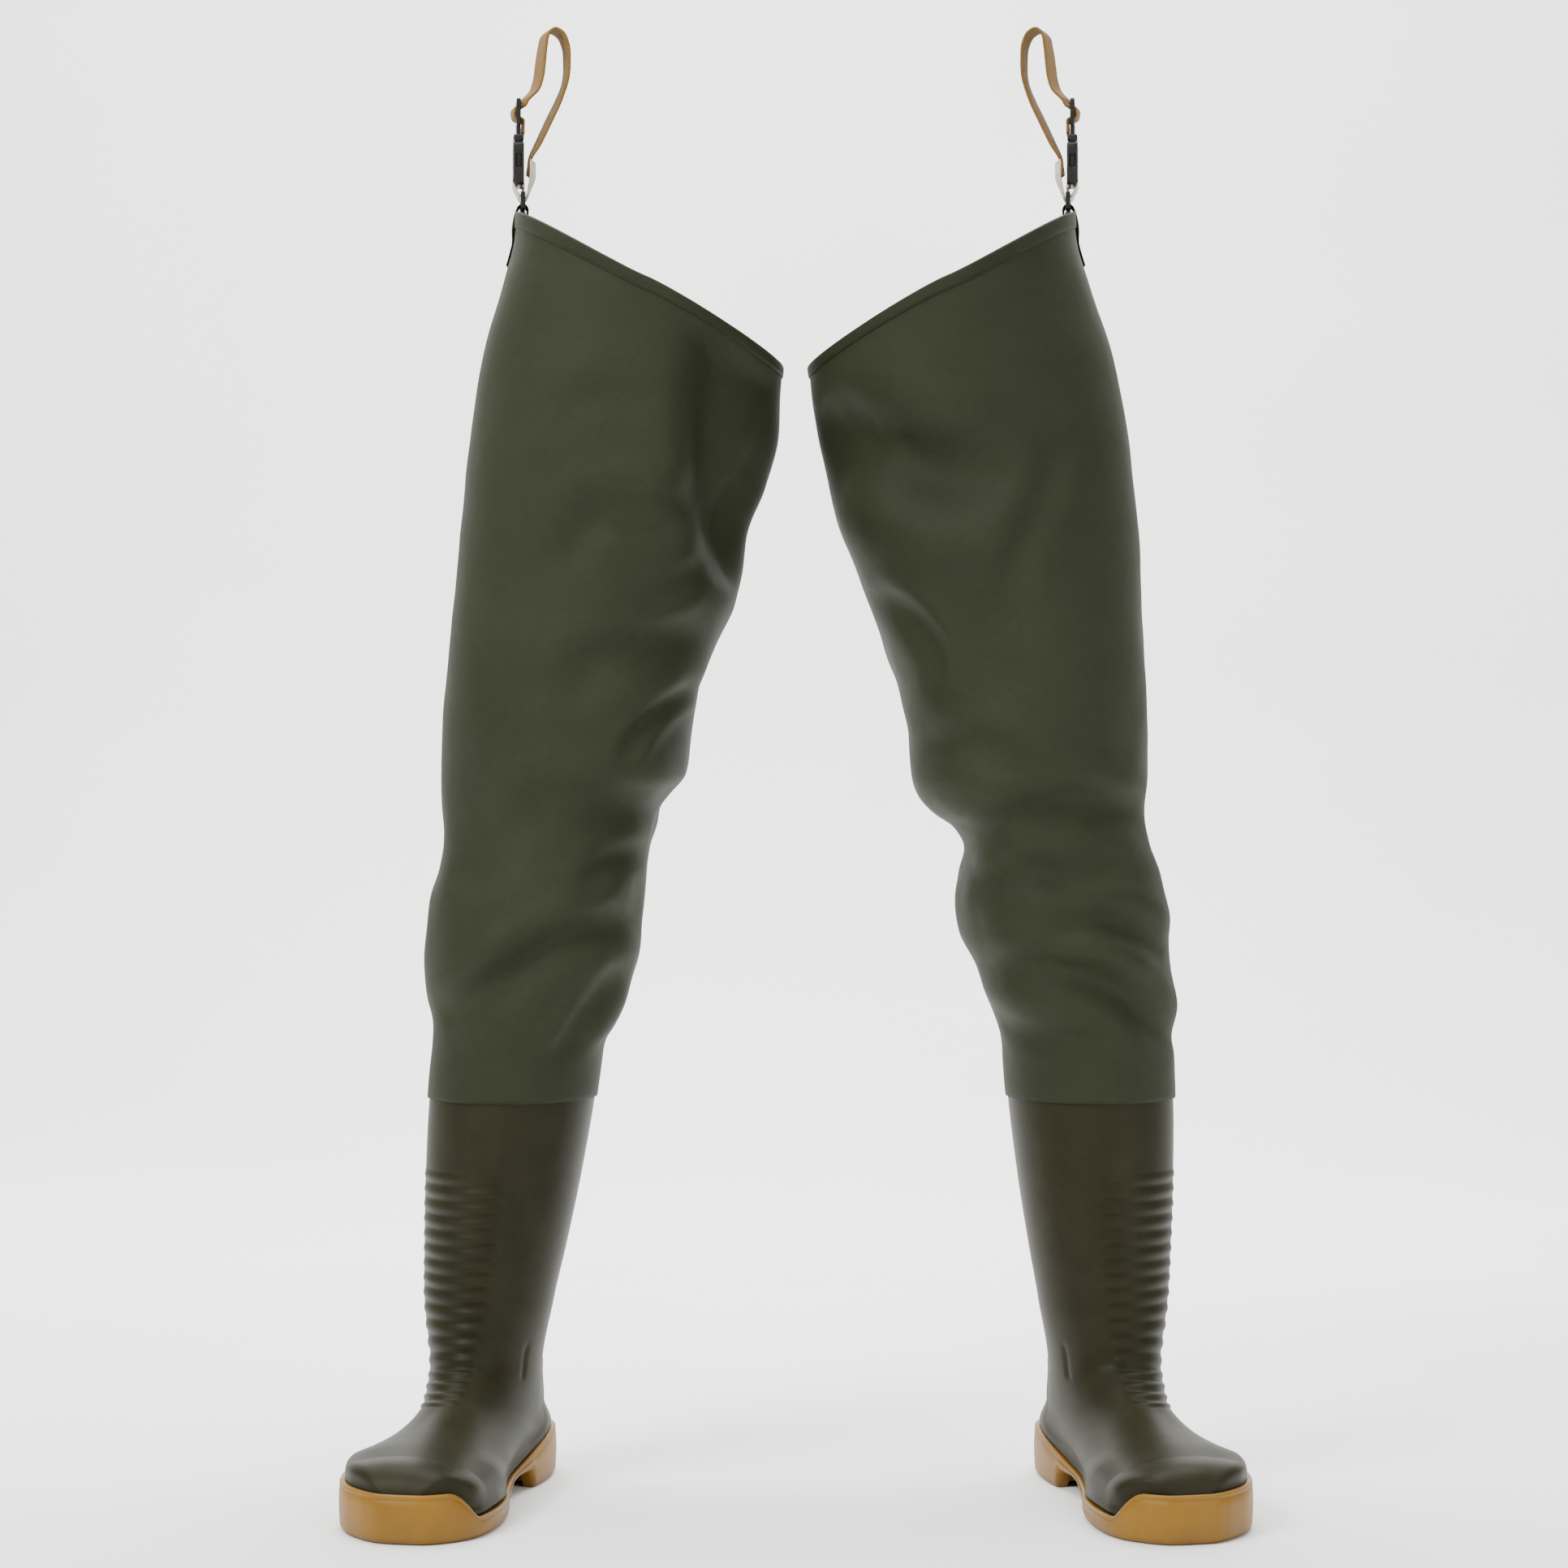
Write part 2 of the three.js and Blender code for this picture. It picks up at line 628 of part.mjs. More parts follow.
// How far the leg's outer side moves outwards for each millimetre down from the rim.
function legSlope() {
  const last = thighRings.length - 1;
  const outermost = (AROUND * 3) / 4;
  const top = thighRings[last][outermost];
  const below = thighRings[last - 1][outermost];
  return (top.x - below.x) / (top.z - below.z);
}

// Places inside the buckle, from the ring's upper bar.
const buckleWidth = WEBBING_WIDTH + 2 * BUCKLE_MARGIN;
const buckleX = -3;
const socketBar = 3;
const slotLow = SOCKET_BASE + 2.5;
const slotHigh = slotLow + 4.2;
const mouth = SOCKET_BASE + SOCKET_HEIGHT;
const cavityLow = slotHigh + 2.5;
const shoulder = mouth + PLUG_GAP;
const shoulderHeight = 5;
const frameLow = shoulder + shoulderHeight + 6;
const frameBar = 3;
const frameSlot = 5;
const barAt = (n) => frameLow + n * (frameBar + frameSlot);
const frameHigh = barAt(2) + frameBar;

function buckleSocket() {
  const body = toSolid(plate(roundedRect(buckleWidth, SOCKET_BASE, mouth, 3), BUCKLE_THICK, 0.8));
  const inside = buckleWidth - 2 * BUCKLE_WALL;
  const gap = BUCKLE_THICK - 2 * BUCKLE_WALL;
  const depth = mouth - cavityLow;
  const cavity = box(0, 0, cavityLow, gap, inside, depth + 1);
  const windows = box(0, 0, cavityLow + 3, gap, buckleWidth + 2, depth * 0.45);
  const slot = box(0, 0, slotLow, BUCKLE_THICK + 2, slotWidth, slotHigh - slotLow);
  const barReliefs = [-1, 1].map((sign) => box(
    (sign * BUCKLE_THICK) / 2, 0, SOCKET_BASE - 1,
    BUCKLE_THICK - socketBar, slotWidth, slotLow - SOCKET_BASE + 2));
  const socket = [cavity, windows, slot, ...barReliefs].reduce((solid, cut) => solid.subtract(cut), body);
  const geometry = toGeometry(socket);
  geometry.translate(buckleX, 0, 0);
  return geometry;
}

function bucklePlug() {
  const inside = buckleWidth - 2 * BUCKLE_WALL - 2 * PLUG_GAP;
  const thick = BUCKLE_THICK - 2 * BUCKLE_WALL - 2 * PLUG_GAP;
  const prong = 3.4;
  const reach = shoulder - cavityLow - 1;
  const side = inside / 2 - prong / 2;
  const low = shoulder - reach;
  const neck = frameLow - shoulder - shoulderHeight;
  const grip = roundedRect(buckleWidth - 2, shoulder, shoulder + shoulderHeight, 2);
  const parts = [
    toSolid(plate(grip, BUCKLE_THICK - 0.5, 0.8)),
    box(0, side, low, thick, prong, reach + 1),
    box(0, -side, low, thick, prong, reach + 1),
    box(0, 0, low + 2, thick, prong * 1.6, reach - 1),
    box(0, 0, shoulder + shoulderHeight - 1, frameBar, buckleWidth * 0.6, neck + 2),
  ];
  const outline = roundedRect(slotWidth + 2 * frameBar, frameLow, frameHigh, 2);
  [0, 1].forEach((n) => {
    const low = barAt(n) + frameBar;
    outline.holes.push(roundedRect(slotWidth, low, low + frameSlot, 0.6));
  });
  const frame = toSolid(plate(outline, frameBar, 0.5));
  const geometry = toGeometry(parts.reduce((solid, part) => solid.add(part), frame));
  geometry.translate(buckleX, 0, 0);
  return geometry;
}

// The cream webbing holds the socket, passes round the ring and rises on the inner side.
const lapLow = 12;
const lapHigh = 24;
const baseX = 4.6;

function anchorWebbing() {
  const clear = socketBar / 2 + CLEARANCE + WEBBING_THICK / 2 + 0.7; // from the socket bar's centre
  return strip([
    [buckleX + clear + 0.2, slotLow - 4],
    [buckleX + clear, slotLow - 1],
    [buckleX, mix(slotLow, slotHigh, 0.6)],
    [buckleX - clear, slotLow - 1.4],
    [buckleX - clear * 0.6, SOCKET_BASE - 3],
    [-wrap, 0],
    [-wrap * 0.7, -wrap * 0.7],
    [0, -wrap],
    [wrap * 0.7, -wrap * 0.7],
    [wrap, 0],
    [baseX, 7],
    [baseX + 0.3, lapLow],
    [baseX + 0.6, lapHigh],
  ], WEBBING_THICK, WEBBING_WIDTH, 36);
}

// The tan strap rises from its lap on the cream webbing, turns over at the crown and comes down to the plug.
const lapX = baseX + (WEBBING_THICK + STRAP_THICK) / 2 + CLEARANCE + 0.4;

function beltStrap() {
  const crown = frameHigh + LOOP_RISE - STRAP_THICK / 2;
  const inner = STRAP_REACH - STRAP_THICK / 2;
  const rise = (share) => mix(lapHigh, crown, share);
  const fall = (share) => mix(frameHigh, crown, share);
  const slotMiddle = (n) => barAt(n) + frameBar + frameSlot / 2;
  const clear = frameBar / 2 + STRAP_THICK / 2 + 0.8;
  return strip([
    [lapX, lapLow + 1],
    [lapX + 0.6, lapHigh],
    [mix(lapX, inner, 0.18), rise(0.17)],
    [mix(lapX, inner, 0.5), rise(0.41)],
    [mix(lapX, inner, 0.83), rise(0.58)],
    [inner, rise(0.74)],
    [inner - 0.6, rise(0.91)],
    [inner - 3, rise(0.98)],
    [inner * 0.78, crown],
    [inner * 0.6, crown],
    [inner * 0.5, fall(0.92)],
    [inner * 0.42, fall(0.7)],
    [inner * 0.36, fall(0.45)],
    [inner * 0.26, fall(0.22)],
    [buckleX + clear + 1.4, slotMiddle(1) + 4.5],
    [buckleX + clear - 0.8, slotMiddle(1) + 0.6],
    [buckleX, slotMiddle(1)],
    [buckleX - clear + 0.6, slotMiddle(1) - 0.8],
    [buckleX - clear, barAt(1) + frameBar / 2],
    [buckleX - clear + 0.6, slotMiddle(0) + 0.8],
    [buckleX, slotMiddle(0)],
    [buckleX + clear - 0.4, slotMiddle(0) - 1],
    [buckleX + clear - 0.1, barAt(0) - 0.5],
    [buckleX + clear - 0.1, barAt(0) - 4.5],
  ], STRAP_THICK, WEBBING_WIDTH, 80);
}

// ---------------------------------------------------------------- assembly
function hanger(side) {
  const group = new THREE.Group();
  group.add(
    piece(`${side}_hanger_tab`, hangerTab(), coatedFabric),
    piece(`${side}_anchor_ring`, anchorRing(), blackPlastic),
    piece(`${side}_anchor_webbing`, anchorWebbing(), creamWebbing),
    piece(`${side}_buckle_socket`, buckleSocket(), blackPlastic),
    piece(`${side}_buckle_plug`, bucklePlug(), blackPlastic),
    piece(`${side}_belt_strap`, beltStrap(), tanWebbing),
  );
  group.position.x = -(RIM_SPREAD + RIM_WIDTH / 2 - HANGER_INSET);
  group.position.z = rimHeight + RIM_RISE / 2 + HANGER_RISE + RING_REACH;
  group.rotation.z = radians(STRAP_TWIST);
  return group;
}

function wader(side) {
  const group = new THREE.Group();
  group.add(
    piece(`${side}_boot_shell`, bootShell(), bootPvc),
    piece(`${side}_boot_lining`, bootLining(), liningKnit),
    piece(`${side}_insole`, insole(), insoleFoam),
    piece(`${side}_outsole`, outsole(), solePvc),
    piece(`${side}_lower_leg`, lowerLeg(), coatedFabric),
    piece(`${side}_knee_section`, legTube(kneeRings), coatedFabric),
    piece(`${side}_thigh`, legTube(thighRings), coatedFabric),
    piece(`${side}_top_hem`, topHem(), coatedFabric),
    hanger(side),
  );
  return group;
}

const right = wader('right');
const left = wader('left');
left.scale.x = -1;

const pair = new THREE.Group();
pair.add(right, left);
const extent = new THREE.Box3().setFromObject(pair, true);
const middle = extent.getCenter(vec(0, 0, 0));
right.position.y = -middle.y;
left.position.y = -middle.y;

export default pair;
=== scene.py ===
"""The looks of a pair of thigh waders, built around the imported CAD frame.

Metres, in the CAD frame: +Z up, the toes point to -Y, the wearer's right wader stands at -X.
Every piece is built in the right wader's place, and the left wader's is mirrored through X = 0.
The two are worn differently, so a shaft's lean and a leg's outline and folds go by side.
Lengths in tables are millimetres and pass through MM.
"""

import bmesh
import bpy
import numpy as np
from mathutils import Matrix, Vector, noise


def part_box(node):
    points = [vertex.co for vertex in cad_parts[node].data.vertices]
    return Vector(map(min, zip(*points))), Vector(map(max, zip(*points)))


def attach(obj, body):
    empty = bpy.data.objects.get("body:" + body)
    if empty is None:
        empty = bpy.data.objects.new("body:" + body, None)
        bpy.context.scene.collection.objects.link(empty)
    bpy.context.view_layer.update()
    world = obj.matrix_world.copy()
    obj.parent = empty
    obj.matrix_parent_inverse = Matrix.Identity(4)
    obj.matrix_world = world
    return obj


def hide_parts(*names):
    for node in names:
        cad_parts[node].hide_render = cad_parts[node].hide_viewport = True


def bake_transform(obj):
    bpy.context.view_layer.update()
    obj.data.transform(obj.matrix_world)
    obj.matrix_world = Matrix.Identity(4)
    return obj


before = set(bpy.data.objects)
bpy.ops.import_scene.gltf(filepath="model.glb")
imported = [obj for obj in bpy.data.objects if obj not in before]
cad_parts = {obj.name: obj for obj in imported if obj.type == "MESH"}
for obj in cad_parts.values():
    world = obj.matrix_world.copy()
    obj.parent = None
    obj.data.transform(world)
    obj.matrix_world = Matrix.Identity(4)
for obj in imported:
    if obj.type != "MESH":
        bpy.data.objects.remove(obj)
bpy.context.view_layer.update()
MM = 0.001

# ---- driving dimensions, as in the CAD
thigh_low, thigh_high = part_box("right_thigh")
ring_low, ring_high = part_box("right_anchor_ring")
ANKLE_Y = (thigh_low.y + thigh_high.y) / 2
SHAFT_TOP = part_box("right_boot_shell")[1].z
ANKLE_SPREAD = 218 * MM
TOE_OUT = np.radians(12.5)
ANKLE_HEIGHT = 110 * MM
ANKLE_DEPTH = 108 * MM
ANKLE_WIDTH = 84 * MM
SHAFT_TOP_DEPTH = 136 * MM
SHAFT_TOP_WIDTH = 116 * MM
FOOT_LENGTH = 292 * MM
HEEL_SETBACK = 75 * MM
HEEL_WIDTH = 74 * MM
BALL_WIDTH = 102 * MM
SOLE_PROUD = 3.5 * MM
CUFF_BOTTOM = SHAFT_TOP - 40 * MM


# ---- maths
def mix(a, b, share):
    return a + (b - a) * share


def ease(value, low, high):
    """0 below low, 1 above high, and smooth between."""
    t = np.clip((value - low) / (high - low), 0, 1)
    return t * t * (3 - 2 * t)


def cubic(t, gap, start, end, start_slope, end_slope):
    """A share t of the way along the cubic from start to end, over the given gap."""
    return (
        (1 + 2 * t) * (1 - t) ** 2 * start
        + t * (1 - t) ** 2 * gap * start_slope
        + t * t * (3 - 2 * t) * end
        + t * t * (t - 1) * gap * end_slope
    )


def run_along(points):
    """Each point's distance from the first one, along the line."""
    return np.concatenate([[0], np.cumsum(np.linalg.norm(np.diff(points, axis=0), axis=1))])


def curve(knots, values, at):
    """Smooth values between the knots, without overshoot (a monotone cubic)."""
    x = np.asarray(knots, float)
    y = np.asarray(values, float)
    gap = np.diff(x)
    slope = np.diff(y) / gap
    tangent = np.zeros_like(y)
    tangent[0] = slope[0]
    tangent[-1] = slope[-1]
    for i in range(1, len(x) - 1):
        if slope[i - 1] * slope[i] > 0:
            w1 = 2 * gap[i] + gap[i - 1]
            w2 = gap[i] + 2 * gap[i - 1]
            tangent[i] = (w1 + w2) / (w1 / slope[i - 1] + w2 / slope[i])
    at = np.asarray(at, float)
    i = np.clip(np.searchsorted(x, at) - 1, 0, len(gap) - 1)
    t = (at - x[i]) / gap[i]
    return cubic(t, gap[i], y[i], y[i + 1], tangent[i], tangent[i + 1])


def foot_point(f, m, z):
    """A point f forwards of the ankle along the foot and m towards the middle of the pair."""
    x = m * np.cos(TOE_OUT) - f * np.sin(TOE_OUT) - ANKLE_SPREAD
    y = -m * np.sin(TOE_OUT) - f * np.cos(TOE_OUT) + ANKLE_Y
    return np.stack(np.broadcast_arrays(x, y, z), axis=-1)


def grid_normals(grid):
    """Outward normals of a grid of closed rings, from its neighbours' differences."""
    across = np.roll(grid, -1, axis=1) - np.roll(grid, 1, axis=1)
    down = np.gradient(grid, axis=0)
    normal = np.cross(across, down)
    normal /= np.maximum(np.linalg.norm(normal, axis=2, keepdims=True), 1e-12)
    spoke = grid - grid.mean(axis=1, keepdims=True)
    return normal * np.sign((normal * spoke).sum())


# ---- meshes
def add_mesh(name, points, faces, side="right", uv=None, girth=None):
    """A mesh object. The left side's points are mirrored and its faces turned over.

    girth is the length of a closed ring in the uv, whose faces of four corners close over its seam.
    """
    points = np.asarray(points, float).reshape(-1, 3).copy()
    if side == "left":
        points[:, 0] *= -1
        faces = [tuple(reversed(face)) for face in faces]
    mesh = bpy.data.meshes.new(name)
    mesh.from_pydata(points.tolist(), [], [list(map(int, face)) for face in faces])
    if uv is not None:
        layer = mesh.uv_layers.new(name="cloth")
        order = np.zeros(len(mesh.loops), int)
        mesh.loops.foreach_get("vertex_index", order)
        corners = np.asarray(uv, np.float32).reshape(-1, 2)[order]
        if girth is not None:
            u = corners[:, 0].reshape(-1, 4)
            over_seam = np.ptp(u, axis=1, keepdims=True) > girth / 2
            u[over_seam & (u < girth / 2)] += girth
            corners[:, 0] = u.ravel()
        layer.data.foreach_set("uv", corners.ravel())
    mesh.shade_smooth()
    obj = bpy.data.objects.new(name, mesh)
    bpy.context.scene.collection.objects.link(obj)
    return obj


def ring_faces(rows, columns):
    """The quads of a grid whose rows are rings, wound so that rows going down face outwards."""
    faces = []
    for i in range(rows - 1):
        for k in range(columns):
            n = (k + 1) % columns
            faces.append((i * columns + k, (i + 1) * columns + k, (i + 1) * columns + n, i * columns + n))
    return faces


def fix_normals(obj):
    mesh = bmesh.new()
    mesh.from_mesh(obj.data)
    bmesh.ops.recalc_face_normals(mesh, faces=mesh.faces)
    mesh.to_mesh(obj.data)
    mesh.free()
    return obj


def apply_modifiers(obj):
    bpy.context.view_layer.update()
    graph = bpy.context.evaluated_depsgraph_get()
    mesh = bpy.data.meshes.new_from_object(obj.evaluated_get(graph))
    old = obj.data
    obj.modifiers.clear()
    obj.data = mesh
    bpy.data.meshes.remove(old)


def thicken(obj, thickness):
    """A wall grown inwards from the surface."""
    solid = obj.modifiers.new("wall", "SOLIDIFY")
    solid.thickness = thickness
    solid.offset = -1
    apply_modifiers(obj)


def finish_piece(obj, body, material, node=None):
    """Gives a piece its material and its body, and hides the CAD node that it replaces."""
    obj.data.materials.clear()
    obj.data.materials.append(material)
    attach(obj, body)
    if node is not None:
        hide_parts(node)


# ---- materials
WEAVE_PITCH = 1.1 * MM
HERRINGBONE = 6 * MM
TWILL_PITCH = 1.5 * MM
THREAD_PITCH = 0.9 * MM


class Nodes:
    """A short way to write one material's node tree."""

    def __init__(self, name):
        self.material = bpy.data.materials.new(name)
        self.material.use_nodes = True
        self.tree = self.material.node_tree
        self.shader = self.tree.nodes["Principled BSDF"]

    def add(self, kind, inputs=None, **settings):
        node = self.tree.nodes.new("ShaderNode" + kind)
        for key, value in settings.items():
            setattr(node, key, value)
        for key, value in (inputs or {}).items():
            self.put(node.inputs[key], value)
        return node

    def put(self, socket, value):
        if isinstance(value, bpy.types.NodeSocket):
            self.tree.links.new(value, socket)
        elif isinstance(value, tuple) and len(value) == 3 and socket.type == "RGBA":
            socket.default_value = (*value, 1)
        else:
            socket.default_value = value

    def math(self, operation, a, b=0.0):
        return self.add("Math", {0: a, 1: b}, operation=operation).outputs[0]

    def times(self, a, b):
        return self.math("MULTIPLY", a, b)

    def wave(self, value, pitch):
        """A sine that comes round once in every pitch metres."""
        return self.math("SINE", self.times(value, 2 * np.pi / pitch))

    def place(self, kind="Object", scale=(1, 1, 1)):
        source = self.add("TexCoord").outputs[kind]
        return self.add("Mapping", {"Vector": source, "Scale": scale}).outputs[0]

    def split(self, where):
        """The three coordinates of a place, each as a value."""
        return self.add("SeparateXYZ", {0: where}).outputs

    def woven(self, pitch):
        """Height of a plain weave, whose threads go over and under at the given pitch."""
        across, along, _ = self.split(self.place("UV"))
        return self.times(self.wave(across, pitch), self.wave(along, pitch))

    def noise(self, size, detail=4.0, where=None):
        """Noise whose features are about size metres across."""
        settings = {"Vector": where or self.place(), "Scale": 1 / size, "Detail": detail, "Roughness": 0.55}
        return self.add("TexNoise", settings).outputs["Fac"]

    def ramp(self, value, stops):
        node = self.add("ValToRGB", {"Fac": value})
        ramp = node.color_ramp
        while len(ramp.elements) < len(stops):
            ramp.elements.new(0.5)
        for element, (position, colour) in zip(ramp.elements, stops):
            element.position = position
            element.color = (*colour, 1)
        return node.outputs["Color"]

    def range(self, value, low, high):
        node = self.add("MapRange", {"Value": value, "To Min": low, "To Max": high})
        return node.outputs["Result"]

    def blend(self, share, a, b, kind="MIX"):
        node = self.add("Mix", data_type="RGBA", blend_type=kind)
        self.put(node.inputs[0], share)
        self.put(node.inputs[6], a)
        self.put(node.inputs[7], b)
        return node.outputs[2]

    def bumps(self, *layers):
        """Bumps over one another. Each layer has a height, its distance in millimetres and its strength."""
        normal = None
        for height, distance, strength in layers:
            node = self.add("Bump", {"Height": height, "Distance": distance * MM, "Strength": strength})
            if normal is not None:
                self.put(node.inputs["Normal"], normal)
            normal = node.outputs["Normal"]
        return normal

    def done(self, base, roughness, surface=None, **others):
        """Links or sets the shader's sockets. The others' names have _ for a space."""
        sockets = dict(others, Base_Color=base, Roughness=roughness)
        if surface is not None:
            sockets["Normal"] = surface
        for name, value in sockets.items():
            self.put(self.shader.inputs[name.replace("_", " ")], value)
        return self.material


def colour(red, green, blue):
    """A colour given as it looks on a screen, from 0 to 255."""
    def linear(value):
        value /= 255
        return value / 12.92 if value <= 0.04045 else ((value + 0.055) / 1.055) ** 2.4
    return linear(red), linear(green), linear(blue)


def make_coated_fabric():
    """Nylon coated with olive PVC: a faint weave under a soft, uneven skin."""
    n = Nodes("coated_fabric")
    broad = n.noise(0.09, 3)
    base = n.ramp(broad, [(0.3, colour(38, 42, 27)), (0.7, colour(45, 49, 33))])
    base = n.blend(n.range(n.noise(0.006, 5), 0.0, 0.35), base, colour(31, 34, 22))
    skin = (n.noise(0.0025, 3), 0.12, 0.6), (n.noise(0.03, 3), 0.8, 0.5)
    surface = n.bumps((n.woven(WEAVE_PITCH), 0.05, 1), *skin)
    return n.done(base, n.range(broad, 0.54, 0.66), surface, Specular_IOR_Level=0.1)


def make_hem_fabric():
    """The same fabric folded double: a little darker, and flattened by the weld."""
    n = Nodes("hem_fabric")
    broad = n.noise(0.05, 3)
    base = n.ramp(broad, [(0.3, colour(34, 37, 24)), (0.7, colour(40, 44, 29))])
    surface = n.bumps((n.woven(WEAVE_PITCH), 0.08, 1), (n.noise(0.004, 3), 0.2, 0.6))
    return n.done(base, n.range(broad, 0.52, 0.66), surface, Specular_IOR_Level=0.1)


def make_boot_pvc():
    """Injection-moulded olive PVC with a soft gloss, faint flow marks, and a painted highlight of lighter
    brownish grey lower down.
    """
    n = Nodes("boot_pvc")
    flow = n.noise(0.05, 4, where=n.place(scale=(1, 1, 0.35)))
    tones = [(0.25, colour(24, 24, 12)), (0.55, colour(30, 29, 16)), (0.85, colour(36, 34, 21))]
    base = n.ramp(flow, tones)
    height = n.split(n.place())[2]
    # Painted highlight: a patchy lighter brownish grey, stronger towards the ground.
    painted_lower_shading = n.times(n.range(height, 0.5, 0.0), n.noise(0.02, 6))
    base = n.blend(n.times(painted_lower_shading, 0.5), base, colour(70, 66, 46))
    surface = n.bumps((n.noise(0.0012, 2), 0.03, 0.5), (n.noise(0.03, 2), 0.25, 0.4))
    return n.done(base, n.range(flow, 0.42, 0.52), surface, Specular_IOR_Level=0.09)


def make_sole_pvc():
    """Tan moulded sole, with painted shade that darkens it towards the ground."""
    n = Nodes("sole_pvc")
    broad = n.noise(0.04, 4)
    base = n.ramp(broad, [(0.3, colour(116, 80, 10)), (0.7, colour(131, 92, 16))])
    height = n.split(n.place())[2]
    # Painted shade: a patchy darker brown within about 17 mm of the ground.
    near_ground = n.ramp(n.times(height, 60.0), [(0.0, (1, 1, 1)), (1.0, (0, 0, 0))])
    painted_lower_shading = n.times(near_ground, n.noise(0.008, 5))
    base = n.blend(n.times(painted_lower_shading, 0.6), base, colour(84, 68, 34))
    surface = n.bumps((n.noise(0.0015, 3), 0.06, 0.6), (n.noise(0.02, 2), 0.3, 0.5))
    return n.done(base, n.range(broad, 0.42, 0.56), surface, Specular_IOR_Level=0.3)


def make_webbing(name, light, dark):
    """Woven tape: ribs across its width, a herringbone twill, and fuzzy colour."""
    n = Nodes(name)
    along, across, _ = n.split(n.place("UV"))
    stripe = n.math("FRACT", n.times(across, 1 / HERRINGBONE))
    zigzag = n.math("ABSOLUTE", n.math("SUBTRACT", stripe, 0.5))
    ribs = n.times(along, 2 * np.pi / TWILL_PITCH)
    twill = n.math("SINE", n.math("ADD", ribs, n.times(zigzag, 12.0)))
    height = n.math("ADD", twill, n.times(n.wave(across, THREAD_PITCH), 0.5))
    shade = n.range(height, 0.0, 1.0)
    shade.node.inputs["From Min"].default_value = -1.5
    shade.node.inputs["From Max"].default_value = 1.5
    base = n.blend(shade, dark, light)
    base = n.blend(n.range(n.noise(0.012, 4), 0.0, 0.5), base, dark)
    surface = n.bumps((height, 0.12, 1), (n.noise(0.0008, 3), 0.1, 0.7))
    return n.done(base, n.range(shade, 0.8, 0.92), surface, Specular_IOR_Level=0.2, Sheen_Weight=0.04,
                  Sheen_Roughness=0.6)


def make_black_plastic():
    """Moulded acetal with a fine spark-eroded grain."""
    n = Nodes("black_plastic")
    mottled = n.noise(0.004, 4)
    base = n.ramp(mottled, [(0.3, colour(16, 15, 12)), (0.7, colour(26, 24, 20))])
    surface = n.bumps((n.noise(0.0004, 2), 0.02, 0.7))
    return n.done(base, n.range(mottled, 0.36, 0.5), surface, Specular_IOR_Level=0.35)


def make_thread():
    """Bonded nylon thread: two plies twisted together."""
    n = Nodes("thread")
    twist = n.add("TexWave", {"Vector": n.place(), "Scale": 900.0}).outputs["Fac"]
    base = n.blend(twist, colour(64, 58, 44), colour(96, 86, 64))
    return n.done(base, 0.7, n.bumps((twist, 0.1, 1)))


def make_lining():
    """A thin knitted lining."""
    n = Nodes("lining_knit")
    x, _, z = n.split(n.place())
    loops = n.times(n.wave(x, 2.2 * MM), n.wave(z, 1.8 * MM))
    base = n.blend(n.range(n.noise(0.02, 4), 0, 1), colour(120, 117, 104), colour(148, 144, 128))
    return n.done(base, 0.95, n.bumps((loops, 0.3, 1)))


def make_insole():
    """Fabric-faced foam: a fine dimpled surface."""
    n = Nodes("insole_foam")
    cells = n.add("TexVoronoi", {"Vector": n.place(), "Scale": 400.0}).outputs["Distance"]
    base = n.blend(n.noise(0.03, 4), colour(70, 72, 64), colour(92, 94, 84))
    return n.done(base, 0.95, n.bumps((cells, 0.4, 1)))


coated_fabric = make_coated_fabric()
hem_fabric = make_hem_fabric()
thread = make_thread()
boot_pvc = make_boot_pvc()
sole_pvc = make_sole_pvc()
tan_webbing = make_webbing("tan_webbing", colour(152, 116, 56), colour(84, 60, 24))
cream_webbing = make_webbing("cream_webbing", colour(236, 229, 216), colour(190, 180, 162))
black_plastic = make_black_plastic()
lining_knit = make_lining()
insole_foam = make_insole()

# ---- the boot's upper
HEEL = -HEEL_SETBACK
TOE = FOOT_LENGTH - HEEL_SETBACK
TIP_HEIGHT = 0.21  # the toe's foremost point, as a share of the ankle's height
BOOT_AROUND = 160
UPPER_WALL = 2.6 * MM
# The shafts lean towards each other, one a little more than the other.
BOOT_LEAN = {"right": 24 * MM, "left": 13 * MM}


def shaft_rows(z, side):
    """The shaft's sections at heights z, in the columns of the foot's rows below."""
    share = (z - ANKLE_HEIGHT) / (SHAFT_TOP - ANKLE_HEIGHT)
    swell = np.sin(share * np.pi / 2)
    depth = mix(ANKLE_DEPTH, SHAFT_TOP_DEPTH, swell)
    half = mix(ANKLE_WIDTH, SHAFT_TOP_WIDTH, swell) / 2
    lean = BOOT_LEAN[side] * share
    return np.stack([0.485 * depth, z, -0.515 * depth, z, half, lean, np.full_like(z, 2)], axis=-1)


# Each row is a section: its front or top point, as a share along the foot and one of the ankle's height,
# its back or bottom point likewise, its half-width as a share of the heel's or ball's width, its shift
# inwards in millimetres, and the squareness of its lower half.
HEEL_ROWS = [
    (0.455, 0.86, 0.055, 0.68, 0.5, 0, 2.1),
    (0.51, 0.73, 0.022, 0.46, 0.49, 0, 2.2),
    (0.565, 0.655, 0.012, 0.31, 0.48, 0, 2.3),
    (0.62, 0.6, 0.09, 0.235, 0.5, 0, 2.4),
    (0.68, 0.56, 0.26, 0.2, 0.53, 0, 2.5),
]
BALL_ROWS = [
    (0.75, 0.53, 0.46, 0.125, 0.44, -1, 2.6),
    (0.82, 0.505, 0.63, 0.085, 0.5, -2, 2.7),
    (0.885, 0.47, 0.77, 0.08, 0.49, -1, 2.6),
]


def foot_rows(rows, width):
    table = np.array(rows, float)
    table[:, [0, 2]] = mix(HEEL, TOE, table[:, [0, 2]])
    table[:, [1, 3]] *= ANKLE_HEIGHT
    table[:, 4] *= width
    table[:, 5] *= MM
    return table


